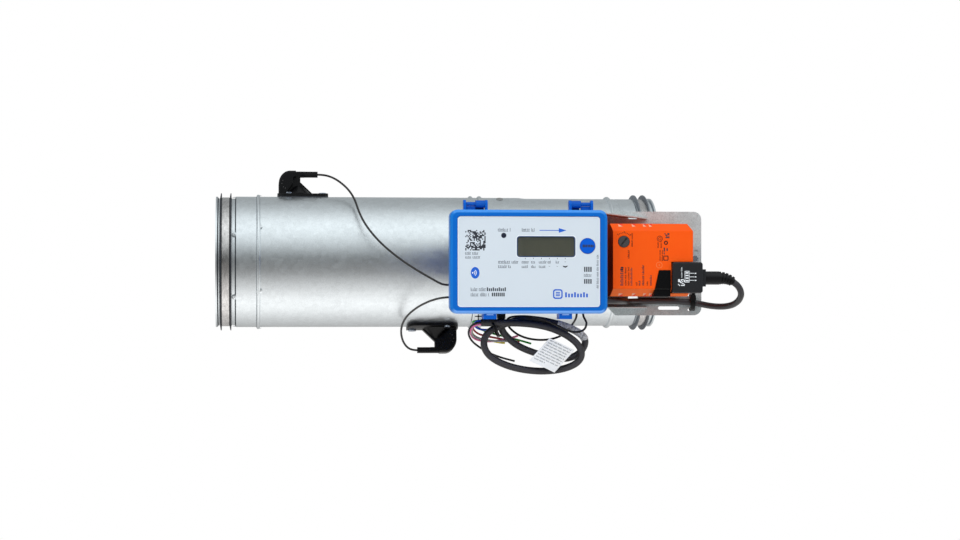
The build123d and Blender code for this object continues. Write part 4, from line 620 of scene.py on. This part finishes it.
def moved(shapes, x, z):
    return [[(x + u, z + v) for u, v in shape] for shape in shapes]


def stood(shapes, x, z):
    """Strokes that read upwards, with their feet on the line at x."""
    return [[(x - v, z + u) for u, v in shape] for shape in shapes]


def speckle(left, low, cell, count, seed):
    """Square cells in an uneven pattern."""
    cells = []
    for row in range(count):
        for column in range(count):
            wave = math.sin((row * 12.9898 + column * 78.233 + seed) * 1.37) * 43758.5453
            if wave - math.floor(wave) < 0.52:
                cells.append(box2(left + column * cell, left + (column + 1) * cell, low + row * cell, low + (row + 1) * cell))
    return cells


panel_face = 165.0
key_face = 165.6
ink = 0.05


def ink_on_panel(name, outlines, material, layer=0, body="lid"):
    return prism(name, outlines, panel_face - 0.02, panel_face + ink * (1 + layer), material, body)


panel_edge = rounded(218.95, 349.05, -43.15, 38.95, 2.75)
ink_on_panel("panel_white_rim", between(panel_edge, rounded(219.95, 348.05, -42.15, 37.95, 2.3)), print_white)
window_edge = rounded(272.7, 326.5, 2.0, 21.2, 2.9)
ink_on_panel("panel_window_halo", between(rounded(272.0, 327.2, 1.3, 21.9, 3.4), window_edge), print_white)
ink_on_panel("panel_window_border", between(window_edge, rounded(273.6, 325.6, 2.9, 20.3, 2.2)), border_ink, 1)
ink_on_panel("panel_arrow", [box2(293.6, 311.4, 26.1, 26.75), [(311.2, 24.3), (318.3, 26.4), (311.2, 28.5)]], print_blue)
ink_on_panel("panel_words_upper", moved(dashes(11.4, 3.2, 5, 0.15), 255.6, 25.3) + moved(dashes(12.2, 3.2, 9, 0.15), 277.4, 25.3), print_grey)
ink_on_panel("panel_pattern_block", speckle(225.8, 8.0, 1.09, 17, 5), print_dark)
ink_on_panel("panel_words_code", moved(dashes(11.5, 2.6, 3, 0.17), 225.8, 4.3) + moved(dashes(13.6, 2.6, 8, 0.17), 225.8, 0.8), print_grey)
oval = [(234.8 + 4.0 * math.cos(a / 28 * math.tau), -12.2 + 5.3 * math.sin(a / 28 * math.tau)) for a in range(28)]
ink_on_panel("panel_oval", [oval], print_blue)
ink_on_panel("panel_oval_waves", hoop(232.6, -12.2, 1.6, 2.2, -50, 50, 8) + hoop(232.6, -12.2, 3.0, 3.6, -50, 50, 8) + [disc(232.6, -12.2, 0.7, 10)], print_white, 1)
values = moved(dashes(18.2, 2.9, 11, 0.18), 255.8, -3.7) + moved(dashes(12.6, 2.9, 17, 0.18), 255.8, -7.8)
for low in (-3.6, -7.7):
    for left, length in ((277.3, 6.4), (285.9, 4.2), (293.0, 6.6)):
        values += moved(dashes(length, 2.6, int(left) + int(-low), 0.18), left, low)
values += moved(dashes(3.4, 2.6, 4, 0.18), 301.0, -3.6) + moved(dashes(3.0, 2.6, 7, 0.18), 308.4, -3.6)
ink_on_panel("panel_words_values", values, print_grey)
ticks = [box2(x - 0.3, x + 0.3, 0.3, 1.5) for x in (280.6, 287.9, 295.3, 302.6, 309.8, 317.1)]
ticks += [box2(x - 0.6, x + 0.6, z, z + 0.4) for x, z in ((317.1, -2.4), (302.6, -6.4), (309.8, -6.4))]
ink_on_panel("panel_ticks", ticks, print_grey)
ink_on_panel("panel_chevron", [[(314.9, -5.5), (315.1, -6.6), (317.1, -7.5), (317.1, -6.2)], [(319.3, -5.5), (317.1, -6.2), (317.1, -7.5), (319.1, -6.6)]], print_dark)
ink_on_panel("panel_words_lower", moved(dashes(13.6, 3.2, 23, 0.14), 230.8, -28.7) + moved(dashes(17.6, 3.2, 31, 0.14), 230.8, -33.4), print_grey)
ink_on_panel("panel_words_bold", bars(245.4, -28.8, 10, 1.15, 1.8, (3.4, 2.6, 2.6)) + bars(250.0, -33.5, 7, 1.15, 1.75, (3.3,)), print_dark)
ink_on_panel("panel_marks", bars(334.4, -11.2, 4, 1.2, 1.9, (4.6,)) + bars(334.4, -22.0, 4, 1.2, 1.9, (4.2,)), print_dark)
ink_on_panel("panel_marks_small", moved(dashes(7.0, 2.8, 61, 0.16), 334.3, -15.6) + stood(dashes(31.0, 1.9, 67, 0.16), 347.6, -26.2), print_grey)
square = rounded(305.9, 314.7, -35.8, -27.0, 2.2)
emblem = between(square, rounded(307.1, 313.5, -34.6, -28.2, 1.4))
emblem += [box2(308.4, 312.2, low, low + 0.9) for low in (-33.3, -31.85, -30.4)]
ink_on_panel("panel_emblem", emblem, print_blue)
ink_on_panel("panel_emblem_bars", bars(317.0, -34.4, 8, 1.6, 2.75, (4.6, 3.4, 3.4)), print_blue)
prism("mode_mark", [box2(333.0 + 1.5 * k, 334.1 + 1.5 * k, 11.1, 13.5) for k in range(7)], 164.9, key_face + 0.06, print_dark, "mode_key")
# painted highlight: a pale strip along the top of each latch
for number, x in enumerate((248.6, 317.8)):
    prism(f"latch_painted_highlight_{number}", [[(x - 3.4, -50.6), (x + 3.4, -50.6), (x + 2.9, -49.5), (x - 2.9, -49.5)]], 162.9, 163.08, latch_painted_highlight, "lid")
for number, x in enumerate((231.3, 336.7)):
    prism(f"hinge_web_{number}", [box2(x - 4.3, x + 4.3, 45.0, 48.5)], 155.6, 158.4, blue_case, "lid")

# Actuator and plug prints
shell_front = 138.0
plug_face = 142.0


def ink_on(name, outlines, face, material):
    return prism(name, outlines, face - 0.02, face + ink, material, "duct_unit")


marks = stood(bars(0.0, 0.0, 10, 0.95, 1.8, (3.0, 2.4)), 375.2, -23.4) + stood(bars(0.0, 0.0, 14, 0.6, 1.2, (1.8, 1.4, 1.8)), 383.6, -23.4)
marks += stood(dashes(5.4, 1.9, 107, 0.32), 391.0, -23.4) + stood(dashes(19.4, 2.1, 109, 0.3), 394.6, -23.4)
marks += stood(dashes(9.4, 1.9, 113, 0.28), 401.6, -23.4) + speckle(412.8, 19.5, 0.92, 6, 7)
marks += [box2(372.4, 374.9, -9.6, -8.4), box2(372.9, 375.2, -7.8, -6.7)]
marks += [box2(413.0, 414.2, 8.0, 11.6), box2(415.6, 416.8, 8.6, 11.0), box2(413.0, 414.0, 5.4, 7.0)]
ink_on("actuator_marks", marks, shell_front, print_dark)
fine_marks = stood(dashes(17.2, 1.5, 127, 0.24), 377.9, -23.4) + stood(dashes(17.2, 1.5, 131, 0.24), 380.7, -23.4)
fine_marks += stood(dashes(3.4, 1.6, 137, 0.26), 388.2, -23.4) + stood(dashes(3.6, 1.6, 139, 0.26), 398.2, -23.4)
fine_marks += stood(dashes(12.6, 1.6, 149, 0.26), 384.0, 12.4) + stood(dashes(8.6, 1.7, 151, 0.3), 380.8, 1.6)
fine_marks += stood(dashes(5.8, 1.4, 157, 0.24), 408.2, 11.3) + stood(dashes(5.8, 1.4, 163, 0.24), 411.2, 11.3)
fine_marks += stood(dashes(10.2, 1.3, 167, 0.24), 410.0, -0.6) + stood(dashes(10.2, 1.3, 173, 0.24), 412.2, -0.6)
fine_marks += hoop(409.3, 19.9, 2.2, 2.7) + hoop(409.3, 19.9, 1.0, 1.4)
fine_marks += hoop(415.1, 16.1, 0.9, 1.9)
fine_marks += between(rounded(412.6, 417.4, -0.4, 4.2, 0.8, 3), rounded(413.4, 416.6, 0.4, 3.4, 0.4, 3))
for step in range(9):
    a = math.radians(132 - step * 10.5)
    b = a - 0.07
    deep = 0.9 if step % 4 else 1.7
    fine_marks.append([(375.7 + 7.8 * math.cos(a), 17.0 + 7.8 * math.sin(a)), (375.7 + 7.8 * math.cos(b), 17.0 + 7.8 * math.sin(b)),
                       (375.7 + (7.8 + deep) * math.cos(b), 17.0 + (7.8 + deep) * math.sin(b)),
                       (375.7 + (7.8 + deep) * math.cos(a), 17.0 + (7.8 + deep) * math.sin(a))])
ink_on("actuator_fine_marks", fine_marks, shell_front, print_brown)
# painted highlight: the embossed ring and its centre dot are drawn in paler orange
ink_on("actuator_gate_ring_highlight", hoop(408.8, -4.5, 2.5, 3.0) + [disc(408.8, -4.5, 0.6, 10)], shell_front, orange_ring_highlight)

plug_marks = speckle(425.7, -23.8, 0.88, 7, 3) + stood(dashes(9.8, 1.3, 179, 0.3), 429.6, -16.2)
plug_marks += between(box2(431.9, 436.3, -20.6, -10.0), box2(432.4, 435.8, -20.1, -10.5))
plug_marks += [box2(432.8, 435.4, z, z + 1.2) for z in (-19.6, -17.2, -14.8, -12.4)]
plug_marks += [box2(436.5, 440.6, z, z + 0.5) for z in (-12.4, -15.7, -18.9)]
plug_marks += [box2(441.2, 442.8, z, z + 0.9) for z in (-12.7, -15.9, -19.2)]
ink_on("plug_marks", plug_marks, plug_face, print_white)
prism("release_step_line", [box2(405.0, 419.2, -26.9, -26.5)], 137.35, 137.45, knob_grey, "gear_release")


def surface(name, faces, material, body):
    """A mesh of separate faces from corner places in x, depth and z."""
    made = bmesh.new()
    for corners in faces:
        made.faces.new([made.verts.new(at(*corner)) for corner in corners])
    mesh = bpy.data.meshes.new(name)
    made.to_mesh(mesh)
    made.free()
    mesh.materials.append(material)
    obj = bpy.data.objects.new(name, mesh)
    scene.collection.objects.link(obj)
    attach(obj, body)
    return obj


def on_bevel(x, share, side, lift=0.12):
    """A place on the long bevel of the actuator, from its front edge to its back edge."""
    z = 27.0 + 7.0 * share if side > 0 else -26.5 - 7.0 * share
    return (x, shell_front - 10.0 * share + 0.57 * lift, z + side * 0.82 * lift)


# painted highlight and painted shadow in the bevel notches: pale faces where light catches, deep red faces where
# shadow falls
notch_highlights = []
notch_shadows = []
for x, width in ((373.8, 4.0), (386.1, 3.4), (396.4, 3.0), (401.9, 3.0)):
    for side in (1, -1):
        left, right = x - width / 2, x + width / 2
        notch_highlights.append([on_bevel(left, 0.94, side), on_bevel(right, 0.60, side), on_bevel(left, 0.56, side)])
        notch_shadows.append([on_bevel(left + 0.4, 0.97, side), on_bevel(right, 0.97, side), on_bevel(right, 0.66, side)])
surface("notch_painted_highlights", notch_highlights, orange_notch_highlight, "duct_unit")
surface("notch_painted_shadows", notch_shadows, orange_notch_shadow, "duct_unit")

# Dimples, and a painted shade line at the foot of the bead, on the measuring tube
def tube_place(x, angle, radius):
    a = math.radians(angle)
    return (x, radius * math.cos(a), radius * math.sin(a))


dimples = []
for x, first, radius in ((18.0, 23.8, 62.5), (41.4, 30.8, 64.3)):
    for number in range(6):
        angle = first + 60.5 * number
        crown = tube_place(x + 0.3, angle, radius + 0.55)
        rim_points = []
        for step in range(12):
            turn_by = step / 12 * math.tau
            rim_points.append(tube_place(x + 2.7 * math.cos(turn_by), angle + 2.2 * math.sin(turn_by), radius - 0.2))
        dimples += [[rim_points[k], rim_points[(k + 1) % 12], crown] for k in range(12)]
surface("tube_dimples", dimples, galvanised, "duct_unit")
# painted shade: a thin dark ring where the bead's steep side rises from the tube
foot_line = []
for step in range(96):
    first, second = step * 3.75, (step + 1) * 3.75
    foot_line.append([tube_place(38.6, first, 63.2), tube_place(38.6, second, 63.2), tube_place(39.6, second, 63.42), tube_place(39.6, first, 63.42)])
surface("bead_painted_shade_line", foot_line, bead_painted_shade, "duct_unit")

# Inner web and small vent dots of each sensor housing
def sensor_place(x, y, z, turned):
    tilt = math.radians(9.0)
    side, height = (-x, -z) if turned else (x, z)
    centre = 208.7 if turned else 83.7
    return (centre + side, -(y * math.cos(tilt) + height * math.sin(tilt)), -y * math.sin(tilt) + height * math.cos(tilt))


for label, turned in (("top", False), ("bottom", True)):
    web = [(-17.6, 66.4), (10.2, 66.2), (-4.4, 80.4), (-10.4, 82.0), (-14.0, 77.0)]
    near = [sensor_place(x, -3.2, z, turned) for x, z in web]
    far = [sensor_place(x, 3.2, z, turned) for x, z in web]
    faces = [near, far[::-1]] + [[near[k], near[(k + 1) % 5], far[(k + 1) % 5], far[k]] for k in range(5)]
    surface(f"{label}_sensor_web", faces, black_shell, "duct_unit")
    dots = []
    for x, z in ((-19.4, 79.2), (-20.2, 76.2), (-18.8, 72.8), (-16.9, 71.6)):
        dots.append([sensor_place(x + 0.45 * math.cos(k / 8 * math.tau), -7.56, z + 0.45 * math.sin(k / 8 * math.tau), turned) for k in range(8)])
    surface(f"{label}_sensor_dots", dots, knob_grey, "duct_unit")

# Cable ties
def band_loop(name, path, width, thickness, material):
    """A closed strap whose middle line is given in x, depth and z, flat along x."""
    made = bmesh.new()
    count = len(path)
    rings = []
    for index, (x, depth, z) in enumerate(path):
        before, after = path[index - 1], path[(index + 1) % count]
        run = Vector((0.0, after[1] - before[1], after[2] - before[2])).normalized()
        out = Vector((0.0, run.z, -run.y)) * thickness / 2
        rings.append([made.verts.new(at(x + side * width / 2, depth + way * out.y, z + way * out.z))
                      for side, way in ((-1, -1), (1, -1), (1, 1), (-1, 1))])
    for index in range(count):
        here, there = rings[index], rings[(index + 1) % count]
        for corner in range(4):
            following = (corner + 1) % 4
            made.faces.new((here[corner], here[following], there[following], there[corner]))
    bmesh.ops.recalc_face_normals(made, faces=made.faces)
    mesh = bpy.data.meshes.new(name)
    made.to_mesh(mesh)
    made.free()
    mesh.materials.append(material)
    obj = bpy.data.objects.new(name, mesh)
    scene.collection.objects.link(obj)
    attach(obj, "duct_unit")
    return obj


def oval_path(x, depth, z, half_depth, half_height, lean=0.0, steps=28):
    path = []
    for step in range(steps):
        a = step / steps * math.tau
        path.append((x + lean * math.sin(a), depth + half_depth * math.cos(a), z + half_height * math.sin(a)))
    return path


plate_tie = band_loop("plate_tie", oval_path(451.2, 79.6, -39.2, 5.4, 7.6), 4.4, 1.1, black_boot)
plate_tie_head = prism("plate_tie_head", [rounded(448.6, 453.8, -37.4, -32.2, 0.8, 3)], 82.6, 87.2, black_boot, "duct_unit")
plate_tie_tail = prism("plate_tie_tail", [[(449.6, -32.8), (453.0, -32.8), (454.0, -27.6), (451.0, -27.2)]], 83.6, 84.8, black_boot, "duct_unit")
coil_tie = band_loop("coil_tie", oval_path(256.0, 128.6, -62.0, 9.2, 8.6, -4.4), 2.2, 1.0, black_boot)
coil_tie_head = prism("coil_tie_head", [rounded(252.0, 255.4, -56.6, -52.4, 0.7, 3)], 134.6, 138.4, black_boot, "duct_unit")
wire_tie_tail = prism("wire_tie_tail", [box2(240.5, 241.4, -55.2, -49.9), box2(238.0, 245.4, -52.3, -51.3)], 133.2, 134.4, black_boot, "duct_unit")
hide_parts("cable_ties")
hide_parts("cable_ties")

# Card tag with its lines of print
tag_start = Vector((306.5, -71.8))
tag_across = Vector((23.3, -11.2))
tag_down = Vector((-18.9, -20.6))


def tag_place(across, down, lift=0.0):
    flat = tag_start + tag_across * across + tag_down * down
    curl = 1.5 * math.sin(math.pi * min(max(across, 0.0), 1.0)) + 0.9 * down * down
    return (flat.x, 137.2 + curl + lift, flat.y)


steps = 10
tag_faces = []
for lift in (0.0, -0.35):
    for row in range(steps):
        for column in range(steps):
            a, b = column / steps, (column + 1) / steps
            c, d = row / steps, (row + 1) / steps
            tag_faces.append([tag_place(a, c, lift), tag_place(b, c, lift), tag_place(b, d, lift), tag_place(a, d, lift)])
for step in range(steps):
    a, b = step / steps, (step + 1) / steps
    for first, second in (((a, 0), (b, 0)), ((a, 1), (b, 1)), ((0, a), (0, b)), ((1, a), (1, b))):
        tag_faces.append([tag_place(*first), tag_place(*second), tag_place(*second, -0.35), tag_place(*first, -0.35)])
tag = surface("card_tag", tag_faces, tag_paper, "duct_unit")
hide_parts("cable_tag")
rows = []
across_length, down_length = tag_across.length, tag_down.length
for number in range(9):
    length = across_length * (0.86 if number < 8 else 0.42)
    top = 0.08 + 0.098 * number
    for shape in dashes(length, 1.3, 191 + number * 13, 0.22):
        rows.append([tag_place(0.07 + u / across_length, top - v / down_length, 0.08) for u, v in shape])
surface("card_tag_print", rows, tag_print, "duct_unit")

# Printed sleeve on the supply cord, along the line that its spline gives
line_data = supply_cord.data.copy()
line_data.bevel_depth = 0.0
line = bpy.data.objects.new("line", line_data)
line_mesh = bpy.data.meshes.new_from_object(line)
spine = [vertex.co.copy() for vertex in line_mesh.vertices]
bpy.data.objects.remove(line)
bpy.data.meshes.remove(line_mesh)
bpy.data.curves.remove(line_data)
first = min(range(len(spine)), key=lambda k: (spine[k] - at(342.0, 125.0, -73.0)).length)
last = min(range(len(spine)), key=lambda k: (spine[k] - at(315.0, 127.2, -58.6)).length)
first, last = sorted((first, last))
made = bmesh.new()
hoops = []
for index in range(first, last + 1):
    run = (spine[min(index + 1, len(spine) - 1)] - spine[index - 1]).normalized()
    side = run.cross(Vector((0.0, 1.0, 0.0))).normalized()
    other = side.cross(run)
    radius = 3.62 * MM
    hoops.append([made.verts.new(spine[index] + (side * math.cos(k / 20 * math.tau) + other * math.sin(k / 20 * math.tau)) * radius) for k in range(20)])
for here, there in zip(hoops, hoops[1:]):
    for k in range(20):
        made.faces.new((here[k], here[(k + 1) % 20], there[(k + 1) % 20], there[k]))
bmesh.ops.recalc_face_normals(made, faces=made.faces)
sleeve_mesh = bpy.data.meshes.new("label_sleeve")
made.to_mesh(sleeve_mesh)
made.free()
sleeve_mesh.materials.append(sleeve_film)
sleeve = bpy.data.objects.new("label_sleeve", sleeve_mesh)
scene.collection.objects.link(sleeve)
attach(sleeve, "duct_unit")

# Light, floor and surroundings
world = bpy.data.worlds.new("studio")
scene.world = world
world.use_nodes = True
nodes = Nodes(world.node_tree)
coords = nodes.add("ShaderNodeTexCoord")
split = nodes.add("ShaderNodeSeparateXYZ")
nodes.link(coords.outputs["Generated"], split.inputs[0])
angle = nodes.math("ARCTAN2", split.outputs["Z"], nodes.math("MULTIPLY", split.outputs["Y"], -1.0))
share = nodes.math("DIVIDE", angle, math.pi)
sky = nodes.ramp(share, [
    (0.0, 0.10), (0.06, 0.22), (0.16, 0.72), (0.22, 0.92), (0.28, 1.12), (0.35, 1.26), (0.42, 1.08),
    (0.50, 0.80), (0.60, 0.50), (0.72, 0.40), (1.0, 0.42),
])
tint = nodes.add("ShaderNodeMix", data_type="RGBA", blend_type="MULTIPLY")
tint.inputs["Factor"].default_value = 1.0
colour_sockets = [s for s in tint.inputs if s.type == "RGBA"]
nodes.link(sky, colour_sockets[0])
colour_sockets[1].default_value = (0.94, 0.985, 1.0, 1.0)
room = nodes.add("ShaderNodeBackground")
nodes.link([s for s in tint.outputs if s.type == "RGBA"][0], room.inputs["Color"])
white = nodes.add("ShaderNodeBackground")
white.inputs["Color"].default_value = (1.0, 1.0, 1.0, 1.0)
path = nodes.add("ShaderNodeLightPath")
choose = nodes.add("ShaderNodeMixShader")
nodes.link(path.outputs["Is Camera Ray"], choose.inputs[0])
nodes.link(room.outputs[0], choose.inputs[1])
nodes.link(white.outputs[0], choose.inputs[2])
output = nodes.add("ShaderNodeOutputWorld")
nodes.link(choose.outputs[0], output.inputs["Surface"])

floor_mesh = bpy.data.meshes.new("floor")
reach = 6.0
floor_level = -0.1068
floor_mesh.from_pydata(
    [(-reach, -reach, floor_level), (reach, -reach, floor_level), (reach, reach, floor_level), (-reach, reach, floor_level)],
    [], [(0, 1, 2, 3)])
floor = bpy.data.objects.new("floor", floor_mesh)
scene.collection.objects.link(floor)
floor_material = bpy.data.materials.new("floor_paper")
floor_material.use_nodes = True
nodes = Nodes(floor_material.node_tree)
coords = nodes.add("ShaderNodeTexCoord")
split = nodes.add("ShaderNodeSeparateXYZ")
nodes.link(coords.outputs["Object"], split.inputs[0])
place = nodes.spread(split.outputs["Y"], 0.0, 1.0, -0.40, 0.20)
glow = nodes.ramp(place, [
    (0.0, 0.25), (0.23, 0.42), (0.445, 0.80), (0.50, 1.05), (0.543, 1.28), (0.58, 1.28), (0.617, 1.08),
    (0.66, 0.78), (0.743, 0.58), (1.0, 0.5),
])
warm = nodes.add("ShaderNodeMix", data_type="RGBA", blend_type="MULTIPLY")
warm.inputs["Factor"].default_value = 1.0
colour_sockets = [s for s in warm.inputs if s.type == "RGBA"]
nodes.link(glow, colour_sockets[0])
colour_sockets[1].default_value = (1.0, 0.985, 0.97, 1.0)
mirror_side = nodes.add("ShaderNodeEmission")
nodes.link([s for s in warm.outputs if s.type == "RGBA"][0], mirror_side.inputs["Color"])
paper = nodes.add("ShaderNodeBsdfDiffuse")
paper.inputs["Color"].default_value = (0.86, 0.86, 0.86, 1.0)
plain = nodes.add("ShaderNodeEmission")
path = nodes.add("ShaderNodeLightPath")
first = nodes.add("ShaderNodeMixShader")
nodes.link(path.outputs["Is Glossy Ray"], first.inputs[0])
nodes.link(paper.outputs[0], first.inputs[1])
nodes.link(mirror_side.outputs[0], first.inputs[2])
second = nodes.add("ShaderNodeMixShader")
nodes.link(path.outputs["Is Camera Ray"], second.inputs[0])
nodes.link(first.outputs[0], second.inputs[1])
nodes.link(plain.outputs[0], second.inputs[2])
output = nodes.add("ShaderNodeOutputMaterial")
nodes.link(second.outputs[0], output.inputs["Surface"])
floor_mesh.materials.append(floor_material)

lamp_data = bpy.data.lights.new("front_lamp", "AREA")
lamp_data.shape = "RECTANGLE"
lamp_data.size = 1.6
lamp_data.size_y = 1.0
lamp_data.energy = 15.0
lamp = bpy.data.objects.new("front_lamp", lamp_data)
scene.collection.objects.link(lamp)
lamp_place = Vector((0.0, -1.7, 1.1))
lamp.matrix_world = Matrix.Translation(lamp_place) @ (Vector((0.26, -0.08, 0.0)) - lamp_place).to_track_quat("-Z", "Y").to_matrix().to_4x4()
lamp.visible_glossy = False
